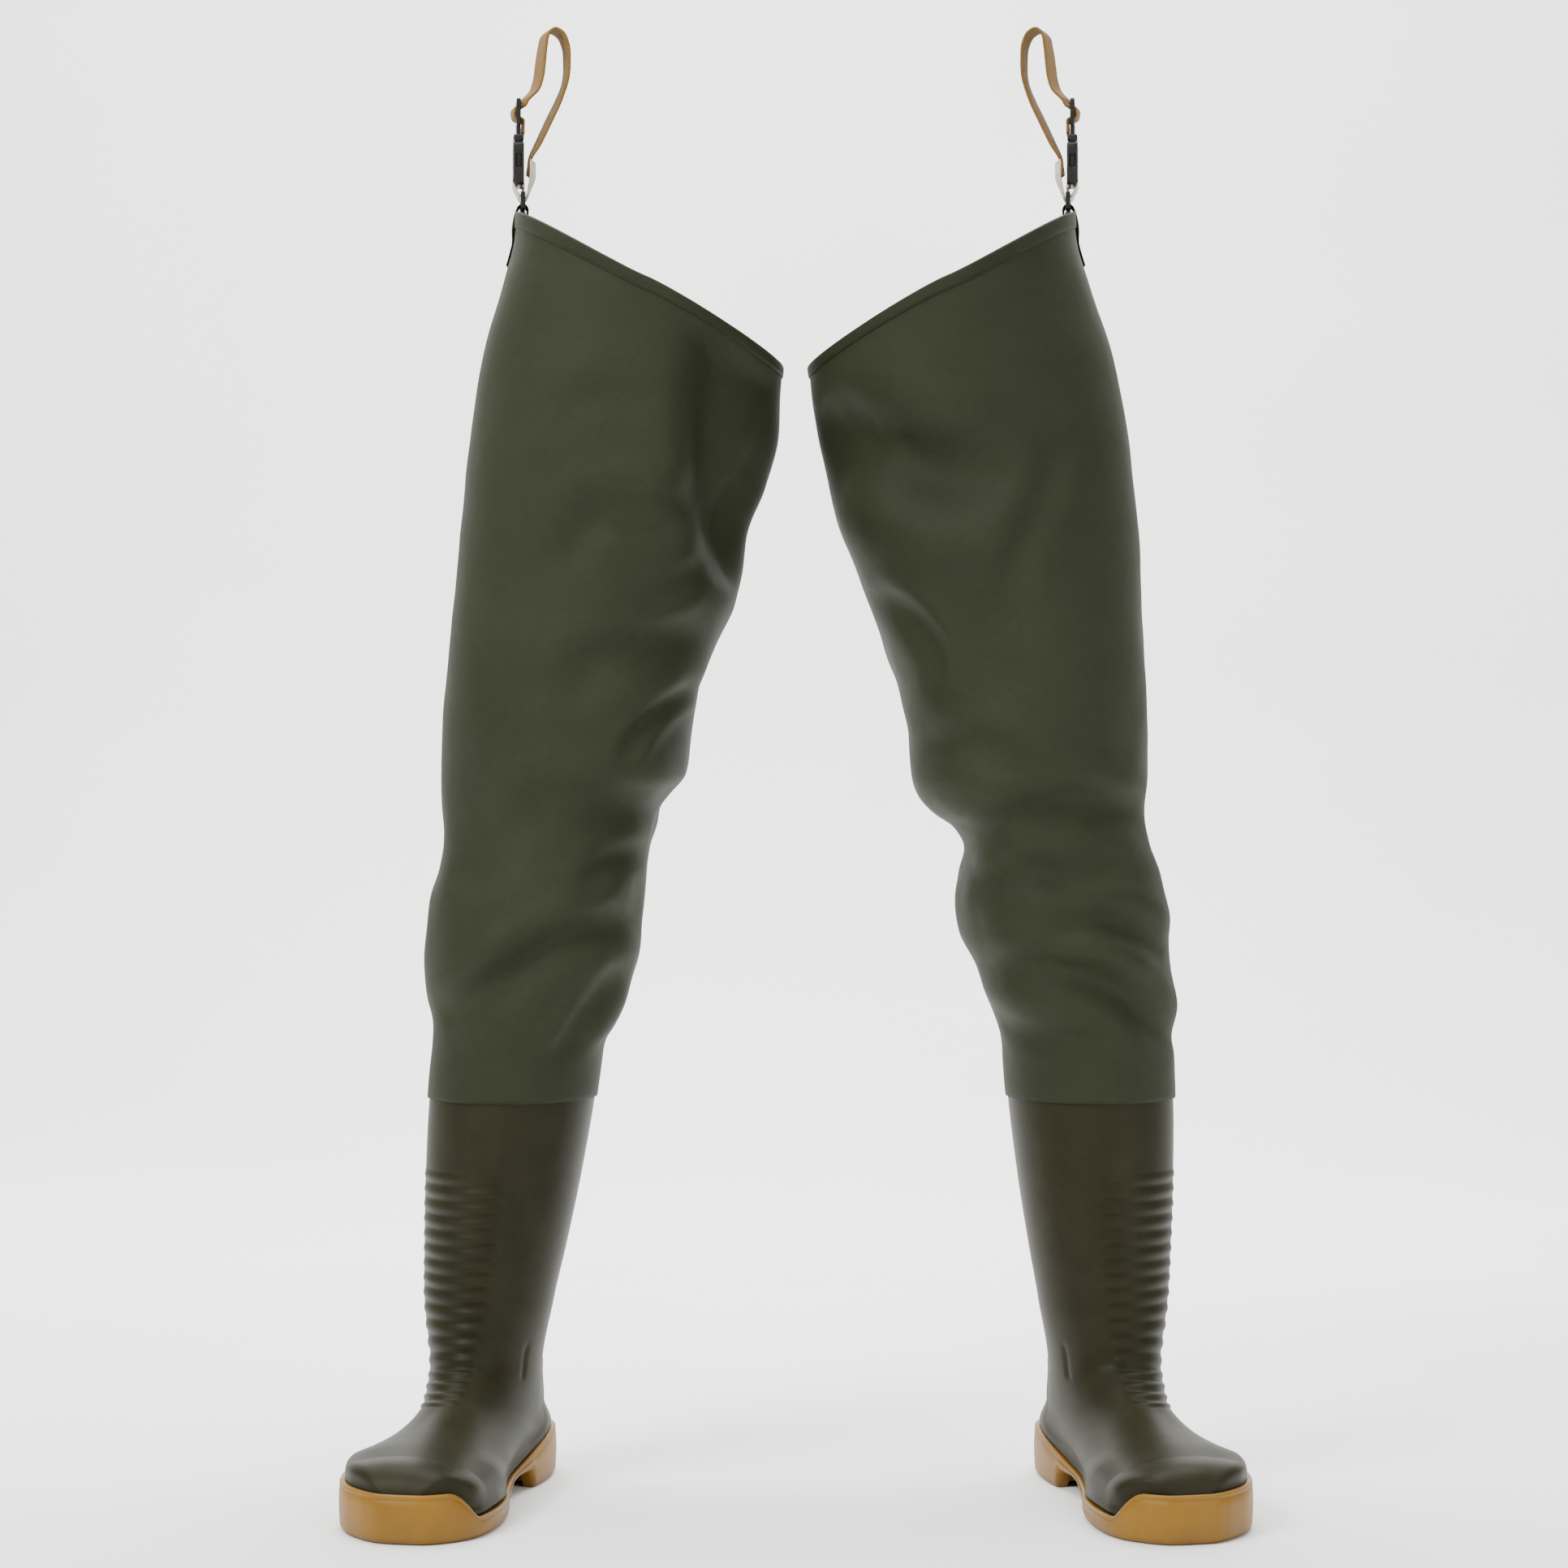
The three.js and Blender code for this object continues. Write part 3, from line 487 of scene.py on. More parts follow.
def toe_rows(start, count):
    """Sections from the last foot section to a blunt, rounded tip."""
    w = np.sin(np.linspace(0, 1, count + 1)[1:] * np.pi / 2)
    w[-1] = 0.9995
    size = (1 - w ** 2.7) ** (1 / 2.3)
    tip = np.array([TOE, TIP_HEIGHT * ANKLE_HEIGHT, TOE, TIP_HEIGHT * ANKLE_HEIGHT, 0, 5 * MM, 2.2])
    rows = np.empty((count, 7))
    rows[:, 0] = mix(start[0], tip[0], w)
    rows[:, 2] = mix(start[2], tip[2], w ** 0.9)
    rows[:, [1, 3, 4]] = mix(tip[[1, 3, 4]], start[[1, 3, 4]], size[:, None])
    rows[:, [5, 6]] = mix(start[[5, 6]], tip[[5, 6]], w[:, None])
    return rows


def boot_rows(side):
    heights = np.array([SHAFT_TOP, CUFF_BOTTOM, 0.66, 0.36, 0.12])
    heights[2:] = mix(ANKLE_HEIGHT, CUFF_BOTTOM, heights[2:])
    table = np.vstack([
        shaft_rows(heights, side),
        foot_rows(HEEL_ROWS, HEEL_WIDTH),
        foot_rows(BALL_ROWS, BALL_WIDTH),
    ])
    knots = run_along((table[:, [0, 1]] + table[:, [2, 3]]) / 2)
    at = np.arange(12 * MM, knots[-1], 1.15 * MM)
    smooth = np.stack([curve(knots, table[:, c], at) for c in range(7)], axis=-1)
    return np.vstack([smooth, toe_rows(smooth[-1], 34)])


def section_rings(rows, around=BOOT_AROUND):
    """Rings of points. Angle 0 is the front or top, and a quarter turn faces the other wader."""
    angle = np.arange(around) / around * 2 * np.pi
    c, s = np.cos(angle), np.sin(angle)
    rings = []
    for f0, z0, f1, z1, half, shift, square in rows:
        power = np.where(c < 0, 2 / square, 1.0)
        between = (1 - np.sign(c) * np.abs(c) ** power) / 2
        sideways = np.sign(s) * np.abs(s) ** power
        rings.append(foot_point(mix(f0, f1, between), shift + sideways * half, mix(z0, z1, between)))
    return np.array(rings), angle


RIB_PITCH = 10.6 * MM
RIB_HEIGHT = 1.7 * MM
RIB_TOP = 226 * MM
RIB_COUNT = 17
RIBS_MIDDLE = np.radians(-24)  # the ribs reach further round the outer side than the inner one
RIBS_HALF = np.radians(46)
PANEL_MIDDLE = np.radians(4)  # the smooth panel above them
PANEL_HALF = np.radians(13)
PANEL_HEIGHT = 0.7 * MM
ANKLE_GROOVE = np.radians(68)
GROOVE_HALF = np.radians(2.4)
GROOVE_DEPTH = 1.3 * MM
COUNTER_EDGE = np.radians((112, 120))  # where the heel counter begins
COUNTER_HEIGHT = 0.7 * MM


def boot_relief(grid, angle):
    """How far the moulded details stand out from the plain boot."""
    around = ((angle + np.pi) % (2 * np.pi) - np.pi)[None, :]
    turn = np.abs(around)
    front = grid[:, 0]
    run = run_along(front)
    start = run[np.argmin(np.abs(front[:, 2] - RIB_TOP))]
    beat = ((run - start) / RIB_PITCH)[:, None]
    inside = ease(beat, 0, 0.3) * (1 - ease(beat, RIB_COUNT - 0.3, RIB_COUNT))
    edge = np.abs(around - RIBS_MIDDLE) / (RIBS_HALF * (1 - 0.2 * ease(beat, RIB_COUNT * 0.5, RIB_COUNT)))
    rib = (0.5 - 0.5 * np.cos(beat * 2 * np.pi)) ** 0.75
    ribs = RIB_HEIGHT * (rib - 0.4) * inside * (1 - ease(edge, 0.82, 1.0))
    z = grid[:, :, 2]
    above = ease(z, RIB_TOP - 10 * MM, RIB_TOP + 10 * MM)
    panel = PANEL_HEIGHT * (1 - ease(np.abs(around - PANEL_MIDDLE) / PANEL_HALF, 0.9, 1.1)) * above
    groove = -GROOVE_DEPTH * np.exp(-((turn - ANKLE_GROOVE) / GROOVE_HALF) ** 2)
    groove = groove * ease(z, 76 * MM, 82 * MM) * (1 - ease(z, 98 * MM, 106 * MM))
    counter = COUNTER_HEIGHT * ease(turn, *COUNTER_EDGE) * (1 - ease(z, 84 * MM, 87 * MM))
    return ribs + panel + groove + counter


SEAT_PROUD = 0.4 * MM
SEAT_REACH = 9 * MM


def seat_on_sole(grid):
    """Draws the upper's lower sides to the sole's wall, so that it neither gapes nor shows through."""
    c, s = np.cos(TOE_OUT), np.sin(TOE_OUT)
    x = grid[:, :, 0] + ANKLE_SPREAD
    y = grid[:, :, 1] - ANKLE_Y
    m = x * c - y * s
    f = -x * s - y * c
    z = grid[:, :, 2]
    wall = np.where(m > 0, half_width(f, INNER_HALVES), half_width(f, OUTER_HALVES))
    top = sole_top(f, m)
    low = (1 - ease(z, top + 2 * MM, top + 22 * MM)) * ease(np.abs(m) / wall, 0.45, 0.85)
    target = np.sign(m) * np.minimum(wall + SEAT_PROUD, np.abs(m) + SEAT_REACH)
    m = mix(m, target, low)
    spare = wall + SEAT_PROUD + 0.4 * np.maximum(z - top, 0)
    m = np.clip(m, -spare, spare)
    return foot_point(f, m, z)


def build_boot_upper(side):
    grid, angle = section_rings(boot_rows(side))
    grid = seat_on_sole(grid)
    grid = grid + grid_normals(grid) * boot_relief(grid, angle)[:, :, None]
    rows, columns = grid.shape[:2]
    faces = ring_faces(rows, columns)
    tip = rows * columns
    for k in range(columns):
        faces.append(((rows - 1) * columns + k, tip, (rows - 1) * columns + (k + 1) % columns))
    points = np.vstack([grid.reshape(-1, 3), grid[-1].mean(axis=0)])
    obj = fix_normals(add_mesh(side + "_boot_upper", points, faces, side))
    thicken(obj, UPPER_WALL)
    finish_piece(obj, side + "_boot", boot_pvc, side + "_boot_shell")


# ---- the outsole
TOE_BUMPER = 33 * MM
BALL_RIM = 14 * MM
HEEL_RIM = 35 * MM
ARCH_RISE = 13 * MM
SOLE_EDGE = 5 * MM
TREAD_DEPTH = 4 * MM
TREAD_BORDER = 10 * MM
LUG_PITCH = 14 * MM
LUG_LENGTH = 8.5 * MM
SOLE_AROUND = 420
SOLE_SHARES = [0, 0.03, 0.09, 0.2, 0.32, 0.44, 0.56, 0.66, 0.76, 0.85, 0.915, 0.96, 0.985, 1]
OUTER_HALVES = [13, 24.5, 33, 37, 36, 35.5, 50, 54, 52.5, 46, 36, 23.5, 14, 3]
INNER_HALVES = [13, 24.5, 33, 37, 35.5, 33, 39, 47.5, 51, 50, 44.5, 34.5, 25.5, 15]


def closed_curve(points, count):
    """A smooth closed curve through the points, at even distances."""
    points = np.asarray(points, float)
    n = len(points)
    dense = []
    for i in range(n):
        p0, p1, p2, p3 = (points[(i + j - 1) % n] for j in range(4))
        t = np.linspace(0, 1, 24, endpoint=False)[:, None]
        dense.append(0.5 * (
            2 * p1 + (p2 - p0) * t
            + (2 * p0 - 5 * p1 + 4 * p2 - p3) * t ** 2
            + (3 * p1 - p0 - 3 * p2 + p3) * t ** 3))
    dense = np.vstack(dense)
    loop = np.vstack([dense, dense[:1]])
    run = run_along(loop)
    at = np.linspace(0, run[-1], count, endpoint=False)
    return np.stack([np.interp(at, run, loop[:, c]) for c in range(2)], axis=-1)


def sole_outline(count):
    extra = SOLE_PROUD / FOOT_LENGTH
    along = mix(HEEL, TOE, mix(-extra, 1 + extra, np.array(SOLE_SHARES)))
    outer = np.stack([along, -np.array(OUTER_HALVES) * MM - SOLE_PROUD], axis=-1)
    inner = np.stack([along, np.array(INNER_HALVES) * MM + SOLE_PROUD], axis=-1)
    return closed_curve(np.vstack([outer, inner[::-1]]), count)


def sole_share(f):
    return (f - HEEL) / FOOT_LENGTH


def sole_top(f, m):
    """The wall's top edge: high round the heel and toe, and low where the ball of the foot bulges."""
    share = sole_share(f)
    inner = m > 0
    heel = mix(HEEL_RIM, BALL_RIM, ease(share, 0.06, 0.54))
    to_toe = np.where(inner, ease(share, 0.885, 0.975), ease(share, 0.48, 0.68))
    return mix(heel, TOE_BUMPER, to_toe)


def sole_bottom(f):
    share = sole_share(f)
    return ARCH_RISE * ease(share, 0.285, 0.315) * (1 - ease(share, 0.4, 0.56))


def half_width(f, halves):
    return curve(SOLE_SHARES, np.array(halves) * MM, np.clip(sole_share(f), 0, 1))


def build_outsole(side):
    count = SOLE_AROUND
    outline = sole_outline(count)
    ahead = np.roll(outline, -1, axis=0) - np.roll(outline, 1, axis=0)
    inward = np.stack([-ahead[:, 1], ahead[:, 0]], axis=-1)
    inward /= np.linalg.norm(inward, axis=1, keepdims=True)
    centre = outline.mean(axis=0)
    inward *= np.sign(((centre - outline) * inward).sum())
    spine_f = np.clip(outline[:, 0], HEEL + 34 * MM, TOE - 40 * MM)
    spine = np.stack([spine_f, np.full(count, 1.5 * MM)], axis=-1)
    top = sole_top(outline[:, 0], outline[:, 1])
    bottom = sole_bottom(outline[:, 0])
    wall = top - bottom
    # The wall's profile, from the tread's border up to the lip: inset from the outline, and height.
    profile = [
        (TREAD_BORDER + 1.2 * MM, bottom + TREAD_DEPTH),
        (TREAD_BORDER, bottom + 0.6 * MM),
        (TREAD_BORDER - 0.8 * MM, bottom),
    ]
    for turn in np.linspace(0, np.pi / 2, 7):
        rise = np.minimum(SOLE_EDGE, wall * 0.4) * (1 - np.cos(turn))
        profile.append((SOLE_EDGE * (1 - np.sin(turn)), bottom + rise))
    for share in (0.45, 0.6, 0.72):
        profile.append((-0.5 * MM * np.sin(share * np.pi), bottom + wall * share))
    groove = top - 3.2 * MM
    profile += [(0.0, groove - 0.7 * MM), (0.7 * MM, groove), (0.1 * MM, groove + 0.8 * MM)]
    profile += [(0.1 * MM, top - 1.2 * MM), (0.6 * MM, top - 0.3 * MM)]
    profile += [(1.4 * MM, top), (4 * MM, top - 0.4 * MM)]
    wall_rings = [(outline + inward * inset, height) for inset, height in profile]
    root = wall_rings[0][0]
    lip = wall_rings[-1][0]
    rings = [(mix(spine, root, share), bottom + TREAD_DEPTH) for share in (0.02, 0.35, 0.7)]
    rings += wall_rings
    rings += [(mix(lip, spine, 0.3), top - 2 * MM), (mix(lip, spine, 0.98), mix(top, BALL_RIM, 0.6))]
    grid = np.array([foot_point(flat[:, 0], flat[:, 1], height) for flat, height in rings])
    faces = ring_faces(len(rings), count)
    points = [grid.reshape(-1, 3)]
    size = len(rings) * count
    for row, order in ((0, 1), (len(rings) - 1, -1)):
        points.append(grid[row].mean(axis=0, keepdims=True))
        for k in range(count):
            pair = (row * count + k, row * count + (k + 1) % count)
            faces.append((size, *pair[::order]))
        size += 1
    for block in tread_blocks():
        start = size
        points.append(block)
        size += len(block)
        faces += [tuple(start + i for i in face) for face in BLOCK_FACES]
    obj = fix_normals(add_mesh(side + "_outsole_moulding", np.vstack(points), faces, side))
    finish_piece(obj, side + "_boot", sole_pvc, side + "_outsole")


# A block's eight corners are its tread face (0 to 3) and its root (4 to 7).
BLOCK_FACES = [(0, 1, 2, 3), (7, 6, 5, 4), (0, 4, 5, 1), (1, 5, 6, 2), (2, 6, 7, 3), (3, 7, 4, 0)]


def tread_blocks():
    """Bars across the tread, under the forefoot and the heel."""
    blocks = []
    for f in np.arange(HEEL + LUG_PITCH * 1.5, TOE - LUG_PITCH, LUG_PITCH):
        share = sole_share(f)
        if 0.24 < share < 0.58:
            continue
        corners = []
        for height, grow in ((0.1 * MM, 0.0), (TREAD_DEPTH + 1 * MM, 0.8 * MM)):
            for df, way in ((-1, -1), (-1, 1), (1, 1), (1, -1)):
                at = f + df * (LUG_LENGTH / 2 + grow)
                halves = INNER_HALVES if way > 0 else OUTER_HALVES
                reach = half_width(at, halves) - TREAD_BORDER + 5 * MM
                corners.append(foot_point(at, way * reach, height))
        blocks.append(np.array(corners))
    return blocks


# ---- the fabric leg
LEG_AROUND = 184
LEG_ROWS = 190
FABRIC = 1.2 * MM
RIM_RISE = 106 * MM
LEG_TOP = 890 * MM
HEM_HEIGHT = 11 * MM
CUFF_GAP = 0.5 * MM
KNEE_HEIGHT = 430 * MM
KNEE_SPREAD = 110 * MM
HANGER_SIDE = 1.5 * np.pi
CORNER_RISE = 1.5 * MM
CRUMPLE_SEED = {"right": 3.1, "left": 11.7}

# How far the leg's two edges lie from the pair's middle, seen from the front: (height, distance) pairs.
# The two waders are worn differently, so each has its own edges and its own folds.
LEG_EDGES = {
    "right": {
        "outer": [
            (271, 258), (300, 256), (322, 256), (345, 259), (380, 260), (410, 257), (436, 249), (450, 247),
            (480, 249), (520, 247), (580, 243), (640, 238), (700, 232), (750, 226), (800, 216),
            (845, 203.5), (875, 196), (892, 194.5),
        ],
        "inner": [
            (271, 139), (300, 134), (314, 128), (323, 121), (345, 119), (380, 109), (415, 105), (450, 101),
            (474, 96), (486, 88), (500, 77), (520, 73), (560, 68), (574, 63), (590, 56), (618, 42),
            (640, 38), (665, 35), (700, 21), (735, 12), (786, 9),
        ],
    },
    "left": {
        "outer": [
            (271, 265), (300, 267), (330, 267), (365, 263), (400, 260), (430, 254), (452, 247), (468, 245),
            (500, 247), (560, 246), (620, 243), (680, 239), (735, 233), (790, 222), (840, 206), (875, 196),
            (892, 194.5),
        ],
        "inner": [
            (271, 149), (300, 146), (330, 137), (365, 127), (390, 116), (412, 113), (430, 116), (446, 118),
            (462, 110), (472, 96), (484, 86), (500, 81), (530, 79), (550, 75), (590, 62), (640, 44),
            (680, 28), (730, 17), (786, 9),
        ],
    },
}
# Half the leg's depth against height.
LEG_DEPTH = [
    (271, 69), (330, 74), (391, 82), (454, 80), (504, 90), (569, 98), (638, 106), (760, 114), (890, 118),
]

# A fold is a soft valley along a line of (distance from the middle, height) points. Then come its width,
# its depth, and how far the fabric swells above and below it, as shares of the depth.
LEG_FOLDS = {
    ("right", "front"): [
        ([(36, 808), (44, 756), (42, 690), (30, 630)], 27, 31.0, 0.0, 0.3),
        ([(160, 734), (136, 757), (106, 744)], 12, 2.4, 0.35, 0.35),
        ([(156, 640), (136, 676), (96, 678), (58, 692)], 14, 7.5, 0.4, 0.6),
        ([(112, 618), (86, 628), (62, 646)], 9, 3.5, 0.5, 0.6),
        ([(160, 552), (130, 580), (92, 592), (58, 600)], 14, 7.0, 0.5, 0.6),
        ([(122, 510), (100, 540), (72, 562)], 6, 4.0, 0.6, 0.8),
        ([(200, 470), (160, 486), (120, 482), (82, 486)], 14, 5.5, 0.6, 0.6),
        ([(150, 420), (128, 442), (100, 450)], 8, 4.0, 0.7, 0.7),
        ([(246, 332), (208, 356), (160, 388), (106, 402)], 12, 9.5, 0.8, 0.5),
        ([(166, 300), (142, 338), (118, 368)], 8, 5.0, 0.6, 0.6),
        ([(238, 292), (205, 304), (160, 300)], 8, 2.5, 0.7, 0.5),
        ([(236, 420), (215, 436), (196, 470)], 16, 4.0, 0.4, 0.4),
    ],
    ("right", "back"): [
        ([(80, 500), (140, 478), (200, 486), (244, 470)], 14, 9.5, 0.7, 0.7),
        ([(104, 446), (150, 430), (210, 440), (250, 452)], 12, 8.0, 0.7, 0.7),
        ([(110, 396), (160, 384), (215, 372), (255, 346)], 13, 7.0, 0.7, 0.6),
        ([(60, 600), (110, 560), (180, 548), (240, 560)], 16, 7.0, 0.6, 0.6),
        ([(30, 700), (90, 650), (150, 630)], 18, 7.0, 0.5, 0.5),
        ([(226, 740), (190, 690), (180, 620)], 18, 6.0, 0.5, 0.5),
        ([(140, 320), (180, 306), (230, 312)], 9, 3.5, 0.6, 0.6),
    ],
    ("left", "front"): [
        ([(10, 752), (50, 722), (100, 706), (150, 712)], 27, 27.0, 0.25, 0.12),
        ([(16, 782), (26, 744), (34, 706), (44, 670)], 13, 4.0, 0.3, 0.2),
        ([(178, 728), (166, 690), (150, 650), (146, 618)], 11, 5.0, 0.5, 0.5),
        ([(50, 628), (74, 612), (94, 588), (100, 552)], 9, 5.5, 0.7, 0.2),
        ([(76, 512), (110, 522), (150, 514), (186, 502)], 12, 6.0, 0.6, 0.6),
        ([(112, 452), (150, 472), (190, 482), (244, 470)], 13, 8.0, 0.7, 0.6),
        ([(120, 426), (160, 436), (196, 430), (222, 444)], 11, 4.5, 0.6, 0.6),
        ([(166, 386), (200, 402), (232, 394), (256, 374)], 11, 7.0, 0.7, 0.6),
        ([(128, 368), (176, 368), (226, 350), (264, 306)], 12, 9.5, 0.6, 0.7),
        ([(136, 330), (170, 318), (214, 318)], 9, 3.5, 0.6, 0.6),
        ([(160, 296), (200, 290), (240, 298)], 7, 2.5, 0.6, 0.6),
    ],
    ("left", "back"): [
        ([(84, 520), (140, 496), (190, 492), (240, 506)], 14, 8.0, 0.7, 0.7),
        ([(120, 456), (160, 446), (210, 452), (246, 440)], 12, 9.5, 0.7, 0.7),
        ([(124, 410), (170, 404), (210, 388), (256, 392)], 12, 7.0, 0.7, 0.6),
        ([(60, 620), (120, 590), (180, 596)], 16, 7.0, 0.6, 0.6),
        ([(40, 720), (80, 680), (90, 620)], 18, 7.0, 0.5, 0.5),
        ([(220, 700), (200, 640), (206, 590)], 16, 6.0, 0.5, 0.5),
        ([(150, 340), (190, 328), (240, 330)], 10, 4.5, 0.6, 0.6),
    ],
}


def smooth_line(points, count):
    """Points along a smooth open line through a few given ones."""
    points = np.asarray(points, float)
    run = run_along(points)
    at = np.linspace(0, run[-1], count)
    slope = np.gradient(points, run, axis=0)
    i = np.clip(np.searchsorted(run, at) - 1, 0, len(run) - 2)
    gap = (run[i + 1] - run[i])[:, None]
    t = (at - run[i])[:, None] / gap
    return cubic(t, gap, points[i], points[i + 1], slope[i], slope[i + 1])


def soften(relief, passes):
    """Blurs a relief over its neighbours, round the leg and along it."""
    for _ in range(passes):
        relief = (np.roll(relief, 1, axis=1) + 2 * relief + np.roll(relief, -1, axis=1)) / 4
        padded = np.pad(relief, ((1, 1), (0, 0)), mode="edge")
        relief = (padded[:-2] + 2 * relief + padded[2:]) / 4
    return relief


def fold_relief(grid, angle, where, line, width, depth, above, below):
    """How far one fold moves the fabric's face in or out."""
    width *= MM
    path = smooth_line(np.array(line) * MM, 48)
    flat = np.stack([-grid[:, :, 0], grid[:, :, 2]], axis=-1).reshape(-1, 2)
    nearest = np.argmin(((flat[:, None] - path[None]) ** 2).sum(axis=2), axis=1)
    offset = flat - path[nearest]
    ahead = np.gradient(path, axis=0)[nearest]
    ahead /= np.linalg.norm(ahead, axis=1, keepdims=True)
    across = ahead[:, 0] * offset[:, 1] - ahead[:, 1] * offset[:, 0]
    across *= np.sign(path[-1, 0] - path[0, 0])
    u = np.sign(across) * np.linalg.norm(offset, axis=1) / width
    profile = -np.exp(-u ** 2)
    profile += above * np.exp(-((u - 1.6) / 0.95) ** 2) + below * np.exp(-((u + 1.6) / 0.95) ** 2)
    envelope = np.maximum(np.sin(np.pi * nearest / (len(path) - 1)), 0) ** 0.6
    face = np.cos(angle) if where == "front" else -np.cos(angle)
    relief = (depth * MM * profile * envelope).reshape(grid.shape[:2])
    relief = soften(relief, 1 + round((width / (9 * MM)) ** 2))
    return relief * ease(face, -0.05, 0.3)[None, :]


def crumple(grid, seed, size):
    """Slow, uneven swelling of the fabric between -1 and 1, the same on every run."""
    shift = Vector((seed, seed * 0.7, -seed))
    places = (grid / (size, size, size * 0.8)).reshape(-1, 3)
    return np.array([noise.noise(Vector(place) + shift) for place in places]).reshape(grid.shape[:2])


def leg_grid(side):
    """Rings of points from the cuff up to the slanted rim, with the folds in them."""
    edges = LEG_EDGES[side]
    t = np.linspace(0, 1, LEG_ROWS)
    outer_z = mix(CUFF_BOTTOM, LEG_TOP, t)
    inner_z = outer_z - RIM_RISE * np.clip((t - 0.4) / 0.6, 0, 1) ** 1.3
    edge = {name: np.array(points) * MM for name, points in edges.items()}
    outer_x = -curve(edge["outer"][:, 0], edge["outer"][:, 1], outer_z)
    inner_x = -curve(edge["inner"][:, 0], edge["inner"][:, 1], inner_z)
    depth = np.array(LEG_DEPTH) * MM
    deep = curve(depth[:, 0], depth[:, 1], (outer_z + inner_z) / 2)
    angle = np.arange(LEG_AROUND) / LEG_AROUND * 2 * np.pi
    c, s = np.cos(angle)[None], np.sin(angle)[None]
    middle = (outer_x + inner_x)[:, None] / 2
    half = (inner_x - outer_x)[:, None] / 2
    x = middle + half * np.sign(s) * np.abs(s) ** 0.92
    y = ANKLE_Y - deep[:, None] * np.sign(c) * np.abs(c) ** 0.92
    z = (outer_z + inner_z)[:, None] / 2 + (inner_z - outer_z)[:, None] / 2 * s
    grid = np.stack([x, y, z], axis=-1)

    boot, _ = section_rings(shaft_rows(outer_z[outer_z < 0.4], side), LEG_AROUND)
    boot += grid_normals(boot) * (FABRIC + CUFF_GAP)
    count = len(boot)
    leave = ease(boot[:, :, 2], CUFF_BOTTOM + 22 * MM, CUFF_BOTTOM + 78 * MM)[:, :, None]
    grid[:count] = mix(boot, grid[:count], leave)

    # The folds die out at the cuff, at the rim and round the hanger.
    free = ease(grid[:, :, 2], CUFF_BOTTOM + 14 * MM, CUFF_BOTTOM + 50 * MM)
    to_rim = np.linspace(1, 0, LEG_ROWS)[:, None] * (LEG_TOP - CUFF_BOTTOM)
    free = free * ease(to_rim, 2 * MM, 34 * MM)
    held = np.exp(-((angle - HANGER_SIDE) / 0.34) ** 2)[None] * ease(grid[:, :, 2], 790 * MM, 838 * MM)
    free = free * (1 - held)
    folds = [(where, *fold) for where in ("front", "back") for fold in LEG_FOLDS[side, where]]
    relief = sum(fold_relief(grid, angle, *fold) for fold in folds)
    seed = CRUMPLE_SEED[side]
    knee = np.exp(-((grid[:, :, 2] - KNEE_HEIGHT) / KNEE_SPREAD) ** 2)
    relief = relief + crumple(grid, seed, 0.07) * (1.8 + 1.4 * knee) * MM
    relief = relief + crumple(grid, seed + 5, 0.028) * (0.35 + 0.55 * knee) * MM
    grid += grid_normals(grid) * (relief * free)[:, :, None]

    # The outer corner of the rim is drawn up into a short neck for the hanger.
    outer_corner = np.exp(-((angle - HANGER_SIDE) / 0.2) ** 2)[None] * np.exp(-to_rim / (14 * MM))
    grid[:, :, 2] += CORNER_RISE * outer_corner
    return grid


def cloth_uv(grid):
    """Distances round and up the fabric, in metres, for the weave, and the distance all round."""
    around = np.linalg.norm(np.roll(grid, -1, axis=1) - grid, axis=2).mean(axis=0)
    up = np.linalg.norm(np.diff(grid, axis=0), axis=2).mean(axis=1)
    u = np.concatenate([[0], np.cumsum(around)[:-1]])
    v = np.concatenate([[0], np.cumsum(up)])
    return np.stack(np.broadcast_arrays(u[None, :], v[:, None]), axis=-1), around.sum()


def build_leg(side):
    grid = leg_grid(side)
    rows, columns = grid.shape[:2]
    leg = add_mesh(side + "_leg_fabric", grid, ring_faces(rows, columns), side, *cloth_uv(grid))
    fix_normals(leg)
    thicken(leg, FABRIC)
    leg.data.materials.clear()
    leg.data.materials.append(coated_fabric)
    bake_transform(leg)
    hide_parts(side + "_lower_leg", side + "_knee_section", side + "_thigh")

    hem = build_hem(side, grid)


def build_hem(side, grid):
    """A band folded over the rim and welded down on both faces, its lower edge standing slightly proud."""
    normals = grid_normals(grid)
    to_rim = np.linspace(1, 0, LEG_ROWS) * (LEG_TOP - CUFF_BOTTOM)
    low = int(np.argmin(np.abs(to_rim - HEM_HEIGHT)))
    top = LEG_ROWS - 1
    back = -FABRIC / MM

    def row(i, out, rise=0.0):
        """The fabric's row i, moved out from its face and up, in millimetres."""
        return grid[i] + normals[i] * out * MM + np.array([0, 0, rise * MM])

    down = range(top, low, -1)
    loop = [row(low, 0.25), row(low, 0.75)]
    loop += [row(i, 1.1) for i in reversed(down)]
    loop += [row(top, 0.9, 0.9), row(top, back / 2, 1.5), row(top, back - 0.9, 0.9)]
    loop += [row(i, back - 1.3) for i in down]
    loop += [row(i, back - 0.25) for i in reversed(down)]
    loop += [row(top, back / 2, 0.4)]
    loop += [row(i, 0.25) for i in down]
    loop = np.array(loop)
    rows, columns = loop.shape[:2]
    faces = np.array(ring_faces(rows + 1, columns)) % (rows * columns)
    obj = fix_normals(add_mesh(side + "_rim_hem", loop, faces, side, *cloth_uv(loop)))
    finish_piece(obj, side + "_thigh", hem_fabric, side + "_top_hem")
    return obj


# ---- inside the boot
LINING_AROUND = 96
LINING_INSET = 3.4 * MM
LINING_THICK = 0.9 * MM


